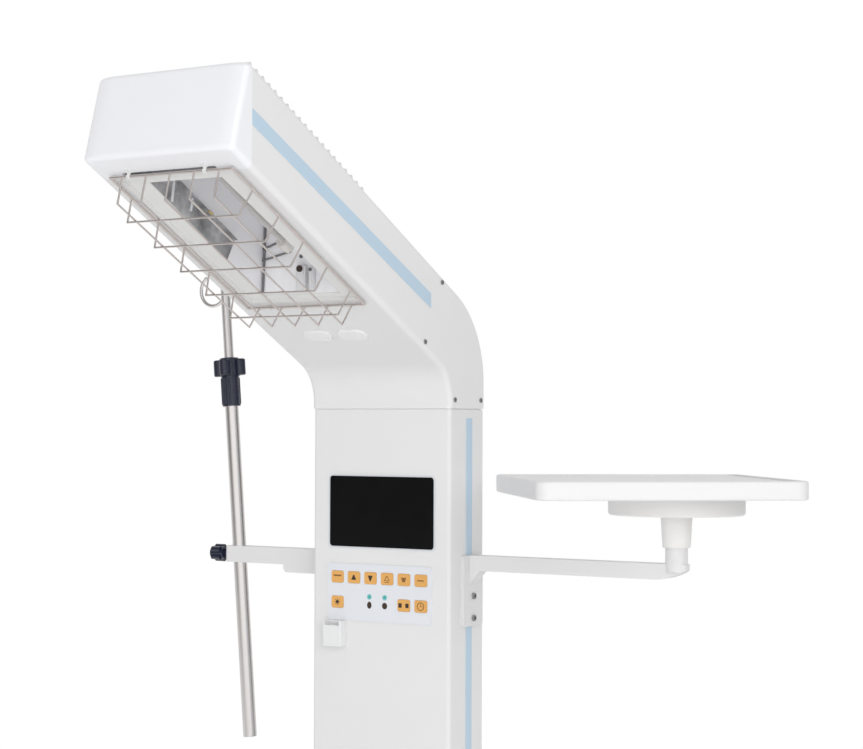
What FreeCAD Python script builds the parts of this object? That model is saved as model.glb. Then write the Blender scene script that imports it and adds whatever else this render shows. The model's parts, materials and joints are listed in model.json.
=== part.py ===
import FreeCAD, Part
import math
import os

# Infant radiant warmer on a wheeled stand.
# Frame: X to the right, Y to the back, Z up. Origin: on the floor, under the middle of the column.
# The operator and the infant's cot are on the -Y side. All sizes are in millimetres.

Vector = FreeCAD.Vector
Rotation = FreeCAD.Rotation
Placement = FreeCAD.Placement
X_AXIS = Vector(1, 0, 0)
Y_AXIS = Vector(0, 1, 0)
Z_AXIS = Vector(0, 0, 1)

# Column
SEAM_HEIGHT = 1480.0        # joint between the column and the hood, above the floor
COLUMN_WIDTH = 240.0
COLUMN_DEPTH = 92.0
COLUMN_WALL = 2.5
COLUMN_EDGE = 6.0           # outer radius of the upright edges
REAR_COVER_THICKNESS = 3.0
SEAM_GAP = 1.2
SEAM_INSET = 1.0
REAR_LIP = 22.0
COVER_SCREW_MARGIN = 30.0
DUCT_HALF_WIDTH = 80.0
DUCT_HALF_DEPTH = 30.0
LOUVRE_COUNT = 9
LOUVRE_PITCH = 11.0
LOUVRE_OPENING = 4.0
LOUVRE_LENGTH = 130.0
LOUVRE_LOW = 420.0
LOUVRE_HIGH = 1290.0
SLIDE_GAP = 0.3             # gap round anything that only sits in a window

# Hood and inclined head
HEAD_TILT = 27.5            # degrees, rising to the front
HEAD_THICKNESS = 116.5
HOOD_SIDE_STEP = 2.0        # how far the hood stands proud of the column's sides and front
HOOD_BACK_STEP = 5.0
HOOD_WALL = 3.0
HOOD_EDGE = 8.0
ELBOW_RISE = 45.2           # seam to the corner of the head's underside and the column's front
ELBOW_INNER_RADIUS = 62.0
ELBOW_OUTER_RADIUS = 146.0
HEAD_REACH = 477.5          # column front to the joint of the front cap
CAP_DEPTH_TOP = 10.0
CAP_DEPTH_BOTTOM = 42.0
CAP_CROWN_RADIUS = 80.0     # the face rolls back towards its sides
CAP_CROWN_TURN = 15.0       # degrees
CAP_SIDE_ROUNDING = 8.5
CAP_SLOT_FROM_JOINT = 3.2
CAP_SLOT_DEPTH = 8.0
CAP_SLOT_ENDS = (-80.0, 72.0)

# Ventilation grille on top of the head
FIN_COUNT = 20
FIN_LAST_FROM_JOINT = 6.9   # along the head, back from the front cap's joint
FIN_PITCH = 14.9
FIN_HEIGHT = 6.0
FIN_THICKNESS = 4.0
GRILLE_MARGIN = 5.0
GRILLE_PLATE = 2.0
VENT_SLOT_WIDTH = 6.0
VENT_SLOT_LENGTH = 170.0

# Blue stripes
STRIPE_WIDTH = 18.0
STRIPE_THICKNESS = 0.8
HEAD_STRIPE_REAR = 100.0
HEAD_STRIPE_RISE_FRONT = 57.5
HEAD_STRIPE_RISE_REAR = 68.3
COLUMN_STRIPE_WIDTH = 16.0
COLUMN_STRIPE_FROM_FRONT = 53.0
COLUMN_STRIPE_TOP_DROP = 14.0
COLUMN_STRIPE_FOOT_GAP = 12.0

# Heater opening, reflector and elements
GUARD_LENGTH = 333.0
GUARD_PAST_JOINT = 8.7      # front rim ahead of the front cap's joint
GUARD_HALF_WIDTH = 99.0
GUARD_DROP = 4.0            # rim wire centre below the head's underside
GUARD_DEPTH = 38.0
RIM_WIRE = 4.0
BASKET_WIRE = 2.6
CROSS_WIRE_COUNT = 5
CROSS_WIRE_FIRST = 38.0
CROSS_WIRE_PITCH = 61.8
LONG_WIRE_COUNT = 5
LONG_WIRE_PITCH = 39.3
BASKET_HALF_WIDTH = 91.0
CLIP_SHEET = 1.2
CLIP_STRIP = 5.0
CLIP_FOOT = 9.0
GUARD_CLIPS_FRONT = (-67.0, 57.0)
GUARD_CLIPS_REAR = (-62.0, 62.0)
OPENING_HALF_FRONT = 59.0
OPENING_HALF_REAR = 67.0
OPENING_LENGTH = 287.0
OPENING_FROM_JOINT = 20.3
FRAME_FROM_JOINT = 4.3
FRAME_THICKNESS = 1.5
FRAME_RECESS = 5.5
FRAME_MARGIN = 6.0
REFLECTOR_HEIGHT = 92.0
REFLECTOR_SHEET = 1.0
REFLECTOR_MARGIN = 1.0      # the housing's walls stand this far outside the opening
REFLECTOR_TAPER = 3.0
MIRROR_HIGH = 38.0
MIRROR_LENGTH = 189.0
MIRROR_FROM_FRONT = 4.0
MIRROR_FOLD = 6.0
OVAL_PLACES = ((-57.0, -9.0), (3.0, 51.0))
OVAL_REAR = 114.0
OVAL_FRONT = 142.0
OVAL_PROUD = 3.0
ELEMENT_DIAMETER = 9.0
ELEMENT_SPACING = 44.0
ELEMENT_HEIGHT = 66.0
ELEMENT_END = 14.0
SOCKET_DIAMETER = 20.0
SOCKET_LENGTH = 16.0

# Control panel on the column's front
DISPLAY_WIDTH = 186.0
DISPLAY_HEIGHT = 108.5
DISPLAY_CENTRE_X = 2.5
DISPLAY_DROP = 152.0        # display centre below the seam
DISPLAY_CORNER = 7.0
BEZEL_RIM = 2.0
BEZEL_PROUD = 1.6
GLASS_RECESS = 0.3
OVERLAY_WIDTH = 183.0
OVERLAY_HEIGHT = 84.0
OVERLAY_DROP = 271.5
OVERLAY_THICKNESS = 1.6
OVERLAY_CENTRE_X = -0.9
OVERLAY_CORNER = 5.0
KEY_WIDTH = 21.5
KEY_HEIGHT = 17.5
KEY_PITCH = 29.2
KEY_COLUMNS = 6
KEY_ROW_DROPS = (249.5, 286.8)
KEY_THICKNESS = 1.6
KEY_TRAVEL = 0.8
KEY_CORNER = 3.0
KEY_LOWER_COLUMNS = (0, 4, 5)
KEY_STEM_DIAMETER = 4.0
KEY_STEM_TAIL = 2.0
SWITCH_HEIGHT = 4.0
BOARD_THICKNESS = 1.6
LED_DIAMETER = 5.0
LED_DROP = 277.0
LED_PLACES = (-17.4, 9.5)
LED_TAIL = 3.0
CLIP_WIDTH = 32.0
CLIP_LIP = 31.0
CLIP_HEIGHT = 38.0
CLIP_DEPTH = 15.0
CLIP_WALL = 3.0
CLIP_EDGE = 1.5
CLIP_CENTRE_X = -75.5

# Arms on the column
ARM_SECTION = 25.0
ARM_TOP_DROP = 213.5        # top of both arms below the seam
POLE_ARM_FROM_FRONT = 45.0
POLE_ARM_END = 313.0        # from the column's middle to the arm's tip
POLE_ARM_EYE = 36.0         # length of the bored block, half of it inboard of the pole
POLE_ARM_GUSSET_END = 199.0
POLE_ARM_GUSSET_DROP = 12.0
FLANGE_THICKNESS = 5.0
FLANGE_WIDTH = 54.0
FLANGE_HEIGHT = 103.0
FLANGE_CORNER = 5.0
ARM_TIP_ROUNDING = 8.0
ARM_SCREW_DROPS = (273.0, 305.0)
SHELF_ARM_FROM_FRONT = 58.0
SHELF_POST_X = 449.5
SHELF_POST_DIAMETER = 31.0
SHELF_ARM_SECTION = 22.0
SHELF_GUSSET_OUT = 17.0
SHELF_GUSSET_DOWN = 19.0
SHELF_TIP = 17.5
SHELF_SWEEP_RUN = 48.0      # the arm's lower edge curves up under the post
SHELF_SWEEP_RISE = 14.0
SPIGOT_DIAMETER = 24.0
SCREW_HEAD_DIAMETER = 9.0
SCREW_HEAD_HEIGHT = 3.0
HOOD_SCREW_DIAMETER = 7.0
HOOD_SCREW_HEIGHT = 1.4
HOOD_SCREW_EDGE = 9.5
HOOD_SCREW_REACH = 86.0
HOOD_SCREW_RISE = 12.5

# Infusion pole
POLE_X = -291.7             # pole axis where it crosses the arm's middle
POLE_LEAN = 4.4             # degrees, the top leaning away from the column
POLE_DIAMETER = 21.0
POLE_WALL = 1.5
POLE_TOP = 262.0            # along the pole above the arm's middle
POLE_BOTTOM = 284.0         # along the pole below the arm's middle
POLE_CLEARANCE = 0.05
ROD_DIAMETER = 15.0
ROD_TOP = 424.0
ROD_BOTTOM = -190.0
COLLAR_BODY_DIAMETER = 30.5
COLLAR_BODY_LOW = 231.0
COLLAR_HEAD_LOW = 278.0
COLLAR_HEAD_TOP = 307.0
COLLAR_HEAD_DIAMETER = 53.0
COLLAR_NUT_CORE = 32.0
COLLAR_WINGS = 4
COLLAR_WING_RADIUS = 8.5
COLLAR_WING_EDGE = 1.5
COLLAR_TURN = 13.0
COLLAR_RIBS = 12
ROD_FOOT = 25.0
COLLAR_NUT_PLAY = 2.75
HOOK_WIRE = 5.5
HOOK_RADIUS = 24.0
HOOK_DROP = 8.0
HOOK_SWEEP = 238.0
KNOB_DIAMETER = 28.0
KNOB_LENGTH = 24.0
KNOB_LOBES = 5
STUD_DIAMETER = 8.0
STUD_GAP = 6.0
STUD_TIP_GAP = 0.8

# Shelf
SLEEVE_LOW_DROP = 191.0
SLEEVE_TOP_DROP = 146.0
SLEEVE_TOP_DIAMETER = 44.0
SLEEVE_LOW_DIAMETER = 38.0
POST_TOP_DROP = 158.0
POST_BORE_CLEARANCE = 0.05
DISC_DIAMETER = 188.0
DISC_THICKNESS = 25.0
DISC_EDGE = 2.5
TRAY_WIDTH = 365.0
TRAY_DEPTH = 360.0
TRAY_TOP_DROP = 95.5
TRAY_TURN = 38.8            # degrees about the post
TRAY_OFFSET_X = -39.0
TRAY_OFFSET_Y = 26.0
TRAY_CORNER = 18.0
TRAY_EDGE = 3.5
TRAY_RECESS = 2.0
TRAY_LIP = 9.0
TRAY_WALL = 3.5
TRAY_FLOOR = 3.5
TRAY_RIB = 4.0

# Base and casters
CASTER_HEIGHT = 128.0       # floor to the underside of the legs
LEG_WIDTH = 60.0
LEG_HEIGHT = 32.0
LEG_WALL = 2.5
LEG_SPACING = 540.0
LEG_FRONT = 560.0
LEG_BACK = 230.0
LEG_CAP = 12.0
CROSS_WIDTH = 112.0
FOOT_PLATE = 8.0
FOOT_MARGIN = 26.0
BASE_COVER_WIDTH = 330.0
BASE_COVER_DEPTH = 156.0
BASE_COVER_HEIGHT = 70.0
BASE_COVER_LEDGE = 12.0
BASE_COVER_ROUNDING = 14.0
WHEEL_DIAMETER = 100.0
WHEEL_WIDTH = 26.0
WHEEL_TREAD = 9.0
CASTER_TRAIL = 28.0
CASTER_INSET = 42.0
CHEEK_GAP = 1.5
CHEEK_THICKNESS = 4.0
AXLE_DIAMETER = 10.0
RUNNING_CLEARANCE = 0.05
STEM_DIAMETER = 12.0
CASTER_PLATE = 58.0
CASTER_PLATE_THICKNESS = 4.0
CROWN_HEIGHT = 10.0
CUP_DIAMETER = 44.0
PEDAL_WIDTH = 40.0
PEDAL_LENGTH = 34.0
PEDAL_PIN = 6.0
PEDAL_PIVOT_Y = 52.0

# Mains panel and push handle on the rear
INLET_Z = 330.0
INLET_WIDTH = 34.0
INLET_HEIGHT = 62.0
INLET_RIM = 5.0
INLET_RIM_PROUD = 2.0
SOCKET_RISE = 13.0
ROCKER_RISE = -17.0
ROCKER_WIDTH = 13.0
ROCKER_HEIGHT = 20.0
ROCKER_WELL = 9.0
ROCKER_PIN = 3.0
ROCKER_ANGLE = 8.0
HANDLE_Z = 930.0
HANDLE_WIDTH = 170.0
HANDLE_REACH = 65.0
HANDLE_TUBE = 22.0
HANDLE_BEND = 30.0

# Worked out from the sizes above
TILT = math.radians(HEAD_TILT)
TAN_TILT = math.tan(TILT)
COS_TILT = math.cos(TILT)
FRONT = -COLUMN_DEPTH / 2.0
BACK = COLUMN_DEPTH / 2.0
HALF_WIDTH = COLUMN_WIDTH / 2.0
HOOD_HALF_WIDTH = HALF_WIDTH + HOOD_SIDE_STEP
HOOD_FRONT = FRONT - HOOD_SIDE_STEP
HOOD_BACK = BACK + HOOD_BACK_STEP
ELBOW_Z = SEAM_HEIGHT + ELBOW_RISE
CAP_JOINT = FRONT - HEAD_REACH
LEG_TOP = CASTER_HEIGHT + LEG_HEIGHT
COLUMN_BOTTOM = LEG_TOP + FOOT_PLATE
COLUMN_TOP = SEAM_HEIGHT - SEAM_GAP
ARM_TOP = SEAM_HEIGHT - ARM_TOP_DROP
ARM_MIDDLE = ARM_TOP - ARM_SECTION / 2.0
POLE_ARM_Y = FRONT + POLE_ARM_FROM_FRONT
SHELF_Y = FRONT + SHELF_ARM_FROM_FRONT
COLUMN_STRIPE_BOTTOM = LEG_TOP + BASE_COVER_HEIGHT + COLUMN_STRIPE_FOOT_GAP
SOCKET_Z = INLET_Z + SOCKET_RISE
CLIP_TOP_DROP = OVERLAY_DROP + OVERLAY_HEIGHT / 2.0 + SLIDE_GAP
ROCKER_Z = INLET_Z + ROCKER_RISE
HEAD_LENGTH = HEAD_REACH / COS_TILT
HEAD_LENGTH_TOP = HEAD_LENGTH + HEAD_THICKNESS * TAN_TILT
CAP_SLOT_REAR = HEAD_LENGTH + CAP_SLOT_FROM_JOINT
CAP_SLOT_FRONT = CAP_SLOT_REAR + CAP_SLOT_DEPTH
FIN_FIRST = HEAD_LENGTH_TOP - FIN_LAST_FROM_JOINT - (FIN_COUNT - 1) * FIN_PITCH
GUARD_REAR = HEAD_LENGTH + GUARD_PAST_JOINT - GUARD_LENGTH
FRAME_FRONT = HEAD_LENGTH - FRAME_FROM_JOINT
OPENING_FRONT = HEAD_LENGTH - OPENING_FROM_JOINT
OPENING_REAR = OPENING_FRONT - OPENING_LENGTH
HOUSING_REAR = OPENING_REAR - REFLECTOR_SHEET
HOUSING_FRONT = OPENING_FRONT + REFLECTOR_SHEET
HOUSING_LOW = FRAME_RECESS + FRAME_THICKNESS

nodes = {}


def add(name, *solids):
    """Put one or more separate solids into a node."""
    nodes.setdefault(name, []).extend(solids)


def box(x0, x1, y0, y1, z0, z1):
    return Part.makeBox(x1 - x0, y1 - y0, z1 - z0, Vector(x0, y0, z0))


def rod(start, end, radius):
    """A straight round bar between two points."""
    along = end - start
    return Part.makeCylinder(radius, along.Length, start, along)


def disc(radius, height, centre, direction=Z_AXIS):
    return Part.makeCylinder(radius, height, centre, direction)


def fuse(shapes):
    first = shapes[0]
    if len(shapes) == 1:
        return first
    return first.multiFuse(shapes[1:]).removeSplitter()


def moved(shape, placement):
    copy = shape.copy()
    copy.Placement = placement.multiply(copy.Placement)
    return copy


def shifted(shape, x=0.0, y=0.0, z=0.0):
    copy = shape.copy()
    copy.translate(Vector(x, y, z))
    return copy


def mirrored_x(shape):
    return shape.mirror(Vector(0, 0, 0), X_AXIS)


def edges_along(shape, direction):
    """The straight edges of a shape that run along a direction."""
    found = []
    for edge in shape.Edges:
        if isinstance(edge.Curve, Part.Line):
            if edge.Curve.Direction.cross(direction).Length < 1e-6:
                found.append(edge)
    return found


def prism(points, along):
    """A closed polygon pushed along a vector."""
    wire = Part.makePolygon([Vector(*p) for p in points] + [Vector(*points[0])])
    return Part.Face(wire).extrude(along)


def rounded_plate_xz(width, height, thickness, corner, x, y, z):
    """A plate standing in the XZ plane with round corners; y is its front face."""
    plate = box(x - width / 2.0, x + width / 2.0, y, y + thickness, z - height / 2.0, z + height / 2.0)
    return plate.makeFillet(corner, edges_along(plate, Y_AXIS))


def revolved(profile, centre, axis_direction=Z_AXIS):
    """Turn a list of (radius, height) points round an axis."""
    points = [Vector(r, 0, h) for r, h in profile]
    face = Part.Face(Part.makePolygon(points + [points[0]]))
    solid = face.revolve(Vector(0, 0, 0), Z_AXIS, 360)
    turn = Rotation(Z_AXIS, axis_direction)
    return moved(solid, Placement(centre, turn))


# Head frame: x across, y to the rear along the head, z square out of its top.
# The distance s runs from the elbow corner to the front, so y is -s there.
HEAD_FRAME = Placement(Vector(0, FRONT, ELBOW_Z), Rotation(X_AXIS, -HEAD_TILT))


def in_head(shape):
    return moved(shape, HEAD_FRAME)


def head_box(x0, x1, s0, s1, z0, z1):
    return in_head(box(x0, x1, -s1, -s0, z0, z1))


def head_point(x, s, z):
    return HEAD_FRAME.multVec(Vector(x, -s, z))


# Hood: the elbow and the inclined head in one shell


def underside_z(y, inset=0.0):
    return ELBOW_Z + (FRONT - y) * TAN_TILT + inset / COS_TILT


def topside_z(y, inset=0.0):
    return ELBOW_Z + (FRONT - y) * TAN_TILT + (HEAD_THICKNESS - inset) / COS_TILT


def elbow_arc(y, corner_z, radius):
    """Arc from the upright line at y to the line that rises forward."""
    tangent = radius * (1.0 - math.sin(TILT)) / COS_TILT
    centre = Vector(0, y - radius, corner_z - tangent)
    half = (math.pi / 2.0 - TILT) / 2.0
    low = Vector(0, y, corner_z - tangent)
    middle = centre + Vector(0, math.cos(half), math.sin(half)) * radius
    high = Vector(0, y - tangent * COS_TILT, corner_z + tangent * math.sin(TILT))
    return low, middle, high


def hood_profile(inset, bottom, front):
    """Side view of the hood, moved in by inset, from the seam to the cap joint."""
    y_front = HOOD_FRONT + inset
    y_back = HOOD_BACK - inset
    inner = elbow_arc(y_front, underside_z(y_front, inset), ELBOW_INNER_RADIUS + inset)
    outer = elbow_arc(y_back, topside_z(y_back, inset), ELBOW_OUTER_RADIUS - inset)
    low_front = Vector(0, y_front, bottom)
    low_back = Vector(0, y_back, bottom)
    tip_low = Vector(0, front, underside_z(front, inset))
    tip_high = Vector(0, front, topside_z(front, inset))
    edges = [
        Part.LineSegment(low_front, inner[0]).toShape(),
        Part.Arc(*inner).toShape(),
        Part.LineSegment(inner[2], tip_low).toShape(),
        Part.LineSegment(tip_low, tip_high).toShape(),
        Part.LineSegment(tip_high, outer[2]).toShape(),
        Part.Arc(outer[2], outer[1], outer[0]).toShape(),
        Part.LineSegment(outer[0], low_back).toShape(),
        Part.LineSegment(low_back, low_front).toShape(),
    ]
    return Part.Face(Part.Wire(edges))


def side_edges(shape, half_width, bottom, front):
    """The profile's edges on both side faces, ready for rounding, but not those at its two open ends."""
    found = []
    for edge in shape.Edges:
        on_side = all(abs(abs(v.X) - half_width) < 1e-6 for v in edge.Vertexes)
        crosses = abs(edge.Vertexes[0].X - edge.Vertexes[-1].X) > 1e-6
        at_bottom = all(abs(v.Z - bottom) < 1e-6 for v in edge.Vertexes)
        at_front = all(abs(v.Y - front) < 1e-6 for v in edge.Vertexes)
        if on_side and not crosses and not at_bottom and not at_front:
            found.append(edge)
    return found


def make_hood_shell():
    outer = hood_profile(0.0, SEAM_HEIGHT, CAP_JOINT).extrude(Vector(2 * HOOD_HALF_WIDTH, 0, 0))
    outer = shifted(outer, x=-HOOD_HALF_WIDTH)
    outer = outer.makeFillet(HOOD_EDGE, side_edges(outer, HOOD_HALF_WIDTH, SEAM_HEIGHT, CAP_JOINT))
    half = HOOD_HALF_WIDTH - HOOD_WALL
    bottom = SEAM_HEIGHT + HOOD_WALL
    inner = hood_profile(HOOD_WALL, bottom, CAP_JOINT - 1.0).extrude(Vector(2 * half, 0, 0))
    inner = shifted(inner, x=-half)
    inner = inner.makeFillet(HOOD_EDGE - HOOD_WALL, side_edges(inner, half, bottom, CAP_JOINT - 1.0))
    shell = outer.cut(inner)
    window_half = GUARD_HALF_WIDTH - FRAME_MARGIN
    window = head_box(-window_half, window_half, GUARD_REAR + FRAME_MARGIN,
                      FRAME_FRONT, -1.0, HOOD_WALL + 1.0)
    vent_half = VENT_SLOT_LENGTH / 2.0 + GRILLE_MARGIN
    vent = head_box(-vent_half, vent_half, FIN_FIRST, FIN_FIRST + (FIN_COUNT - 1) * FIN_PITCH,
                    HEAD_THICKNESS - HOOD_WALL - 1.0, HEAD_THICKNESS + 1.0)
    duct = box(-DUCT_HALF_WIDTH, DUCT_HALF_WIDTH, -DUCT_HALF_DEPTH, DUCT_HALF_DEPTH,
               SEAM_HEIGHT - 1.0, SEAM_HEIGHT + HOOD_WALL + 1.0)
    shell = shell.cut(Part.makeCompound([window, vent, duct]))
    add("hood_shell", shell)


def cap_plan(inset, front, back, z):
    """Outline of the cap from above: a flat face that rolls back to its sides through two arcs."""
    half = HOOD_HALF_WIDTH - inset
    small = CAP_SIDE_ROUNDING - inset
    large = CAP_CROWN_RADIUS - inset
    turn = math.radians(CAP_CROWN_TURN)

    def on_arc(radius, centre_x, centre_y, angle):
        return Vector(centre_x + radius * math.sin(angle), centre_y - radius * math.cos(angle), z)

    # The large arc starts on the flat face and the small one ends on the side.
    small_x = half - small
    joint_x = small_x + small * math.sin(turn)
    large_x = joint_x - large * math.sin(turn)
    joint_y = front + large * (1.0 - math.cos(turn))
    small_y = joint_y + small * math.cos(turn)
    middle = (turn + math.pi / 2.0) / 2.0
    right = [
        Vector(large_x, front, z),
        on_arc(large, large_x, front + large, turn / 2.0),
        Vector(joint_x, joint_y, z),
        on_arc(small, small_x, small_y, middle),
        Vector(half, small_y, z),
    ]
    left = [Vector(-p.x, p.y, z) for p in right]
    corner_right = Vector(half, back, z)
    corner_left = Vector(-half, back, z)
    edges = [
        Part.LineSegment(left[0], right[0]).toShape(),
        Part.Arc(right[0], right[1], right[2]).toShape(),
        Part.Arc(right[2], right[3], right[4]).toShape(),
        Part.LineSegment(right[4], corner_right).toShape(),
        Part.LineSegment(corner_right, corner_left).toShape(),
        Part.LineSegment(corner_left, left[4]).toShape(),
        Part.Arc(left[4], left[3], left[2]).toShape(),
        Part.Arc(left[2], left[1], left[0]).toShape(),
    ]
    return Part.Face(Part.Wire(edges))


def cap_block(inset, back):
    """The cap's wedge, moved in by inset, with soft edges, reaching back past the joint."""
    top_y = CAP_JOINT - CAP_DEPTH_TOP + inset
    low_y = CAP_JOINT - CAP_DEPTH_BOTTOM + inset
    lean = (top_y - low_y) / (topside_z(top_y, inset) - underside_z(low_y, inset))
    start = underside_z(low_y, inset) - 2 * CAP_DEPTH_BOTTOM
    height = HEAD_THICKNESS + 6 * CAP_DEPTH_BOTTOM
    plan = cap_plan(inset, low_y - 2 * CAP_DEPTH_BOTTOM * lean, back, start)
    column = plan.extrude(Vector(0, height * lean, height))
    reach_y = low_y - CAP_DEPTH_BOTTOM
    wedge = prism([
        (-COLUMN_WIDTH, back - 1.0, underside_z(back - 1.0, inset)),
        (-COLUMN_WIDTH, reach_y, underside_z(reach_y, inset)),
        (-COLUMN_WIDTH, reach_y, topside_z(reach_y, inset)),
        (-COLUMN_WIDTH, back - 1.0, topside_z(back - 1.0, inset)),
    ], Vector(2 * COLUMN_WIDTH, 0, 0))
    block = column.common(wedge)
    loops = []
    for edge in block.Edges:
        on_top = all(abs(v.Z - topside_z(v.Y, inset)) < 1e-4 for v in edge.Vertexes)
        on_bottom = all(abs(v.Z - underside_z(v.Y, inset)) < 1e-4 for v in edge.Vertexes)
        at_back = all(v.Y > CAP_JOINT + 1.0 for v in edge.Vertexes)
        if (on_top or on_bottom) and not at_back:
            loops.append(edge)
    return block.makeFillet(HOOD_EDGE - inset, loops)


def make_front_cap():
    """Moulded nose of the head: a wedge that is deeper at the bottom, hollow behind, with a slot below."""
    reach = CAP_DEPTH_BOTTOM
    outer = cap_block(0.0, CAP_JOINT + reach)
    behind = box(-HOOD_HALF_WIDTH - 1.0, HOOD_HALF_WIDTH + 1.0, CAP_JOINT, CAP_JOINT + 2 * reach,
                 ELBOW_Z, ELBOW_Z + 2 * HEAD_REACH)
    inner = cap_block(HOOD_WALL, CAP_JOINT + reach)
    slot = head_box(CAP_SLOT_ENDS[0], CAP_SLOT_ENDS[1], CAP_SLOT_REAR, CAP_SLOT_FRONT, -1.0, HOOD_WALL + 1.0)
    add("front_cap", outer.cut(Part.makeCompound([behind, inner])).cut(slot))


def make_vent_grille():
    """Louvred cover on top of the head: a plate with fins across and slots between them."""
    half = HOOD_HALF_WIDTH - HOOD_EDGE
    first = FIN_FIRST - GRILLE_MARGIN
    last = FIN_FIRST + (FIN_COUNT - 1) * FIN_PITCH + GRILLE_MARGIN
    plate = box(-half, half, -last, -first, HEAD_THICKNESS, HEAD_THICKNESS + GRILLE_PLATE)
    solids = [plate]
    slots = []
    for i in range(FIN_COUNT):
        s = FIN_FIRST + i * FIN_PITCH
        top = HEAD_THICKNESS + FIN_HEIGHT
        low = HEAD_THICKNESS + GRILLE_PLATE / 2.0
        points = [
            (-half, -s + FIN_THICKNESS / 2.0, low),
            (-half, -s + FIN_THICKNESS / 2.0, top - FIN_THICKNESS / 2.0),
            (-half, -s, top),
            (-half, -s - FIN_THICKNESS / 2.0, top),
            (-half, -s - FIN_THICKNESS / 2.0, low),
        ]
        solids.append(prism(points, Vector(2 * half, 0, 0)))
        if i < FIN_COUNT - 1:
            middle = -s - FIN_PITCH / 2.0
            slots.append(box(-VENT_SLOT_LENGTH / 2.0, VENT_SLOT_LENGTH / 2.0, middle - VENT_SLOT_WIDTH / 2.0,
                             middle + VENT_SLOT_WIDTH / 2.0, HEAD_THICKNESS - 1.0,
                             HEAD_THICKNESS + GRILLE_PLATE + 1.0))
    grille = fuse(solids)
    grille = grille.cut(Part.makeCompound(slots))
    add("vent_grille", in_head(grille.Solids[0]))


def make_head_stripes():
    """Thin coloured strips along both sides of the head."""
    front_y = CAP_JOINT + 0.5
    s_front = (FRONT - front_y) / COS_TILT + math.tan(TILT) * HEAD_STRIPE_RISE_FRONT
    half = STRIPE_WIDTH / 2.0
    x = HOOD_HALF_WIDTH
    slant = half * TAN_TILT
    points = [
        (x, -(s_front - slant), HEAD_STRIPE_RISE_FRONT - half),
        (x, -(s_front + slant), HEAD_STRIPE_RISE_FRONT + half),
        (x, -(HEAD_STRIPE_REAR + slant), HEAD_STRIPE_RISE_REAR + half),
        (x, -(HEAD_STRIPE_REAR - slant), HEAD_STRIPE_RISE_REAR - half),
    ]
    right = in_head(prism(points, Vector(STRIPE_THICKNESS, 0, 0)))
    add("head_stripes", right, mirrored_x(right))


def screw(centre, direction, diameter=SCREW_HEAD_DIAMETER, height=SCREW_HEAD_HEIGHT):
    """Pan-head screw with a round socket; centre is on the surface it sits on."""
    head = disc(diameter / 2.0, height, centre, direction)
    top = centre + direction * (height * 0.4)
    socket = disc(diameter / 4.0, height, top, direction)
    return head.cut(socket)


def make_hood_screws():
    places = [
        head_point(HOOD_HALF_WIDTH, HOOD_SCREW_REACH, HEAD_THICKNESS - HOOD_SCREW_EDGE),
        head_point(HOOD_HALF_WIDTH, HOOD_SCREW_REACH, HOOD_SCREW_EDGE),
        Vector(HOOD_HALF_WIDTH, FRONT + HOOD_SCREW_EDGE, SEAM_HEIGHT + HOOD_SCREW_RISE),
        Vector(HOOD_HALF_WIDTH, BACK - HOOD_SCREW_EDGE, SEAM_HEIGHT + HOOD_SCREW_RISE),
    ]
    for place in places:
        right = screw(place, X_AXIS, HOOD_SCREW_DIAMETER, HOOD_SCREW_HEIGHT)
        add("hood_screws", right, mirrored_x(right))


# Heater in the head


def make_heater_frame():
    """White pressed frame that closes the head's underside round the heater opening."""
    half = GUARD_HALF_WIDTH - FRAME_MARGIN - SLIDE_GAP
    rear = GUARD_REAR + FRAME_MARGIN + SLIDE_GAP
    front = FRAME_FRONT - SLIDE_GAP
    low = FRAME_RECESS
    top = FRAME_RECESS + FRAME_THICKNESS
    plate = box(-half, half, -front, -rear, low, top)
    skirt = plate.cut(box(-half + FRAME_THICKNESS, half - FRAME_THICKNESS, -front + FRAME_THICKNESS,
                          -rear - FRAME_THICKNESS, low - 1.0, top + 1.0))
    skirt = shifted(box(-half, half, -front, -rear, 0.0, low).cut(
        box(-half + FRAME_THICKNESS, half - FRAME_THICKNESS, -front + FRAME_THICKNESS,
            -rear - FRAME_THICKNESS, -1.0, low + 1.0)))
    opening = prism([
        (-OPENING_HALF_FRONT, -OPENING_FRONT, low - 1.0),
        (OPENING_HALF_FRONT, -OPENING_FRONT, low - 1.0),
        (OPENING_HALF_REAR, -OPENING_REAR, low - 1.0),
        (-OPENING_HALF_REAR, -OPENING_REAR, low - 1.0),
    ], Vector(0, 0, FRAME_THICKNESS + 2.0))
    add("heater_frame", in_head(fuse([plate.cut(opening), skirt])))


def opening_half(s):
    """Half the opening's width at a place along the head; it widens to the rear."""
    share = (OPENING_FRONT - s) / OPENING_LENGTH
    return OPENING_HALF_FRONT + share * (OPENING_HALF_REAR - OPENING_HALF_FRONT)


def housing_outline(s, inset, low):
    """The heater housing across the head, moved in by inset from its outer face."""
    half_low = opening_half(s) + REFLECTOR_MARGIN + REFLECTOR_SHEET - inset
    half_top = half_low - REFLECTOR_TAPER - REFLECTOR_MARGIN
    top = REFLECTOR_HEIGHT - inset
    points = [(-half_low, -s, low), (half_low, -s, low), (half_top, -s, top), (-half_top, -s, top)]
    return Part.makePolygon([Vector(*p) for p in points] + [Vector(*points[0])])


def housing_block(inset, low=HOUSING_LOW, rear=HOUSING_REAR, front=HOUSING_FRONT):
    return Part.makeLoft([housing_outline(rear, inset, low), housing_outline(front, inset, low)], True, True)


def housing_hollow(inset):
    """The space inside the housing's walls, run out past both ends and below."""
    return housing_block(inset, HOUSING_LOW - 1.0, HOUSING_REAR - 1.0, HOUSING_FRONT + 1.0)


def rear_plate_s(z):
    """Where the housing's upright rear plate stands, along the head, at a height in the head."""
    return HOUSING_REAR + (z - HOUSING_LOW) * TAN_TILT


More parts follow.
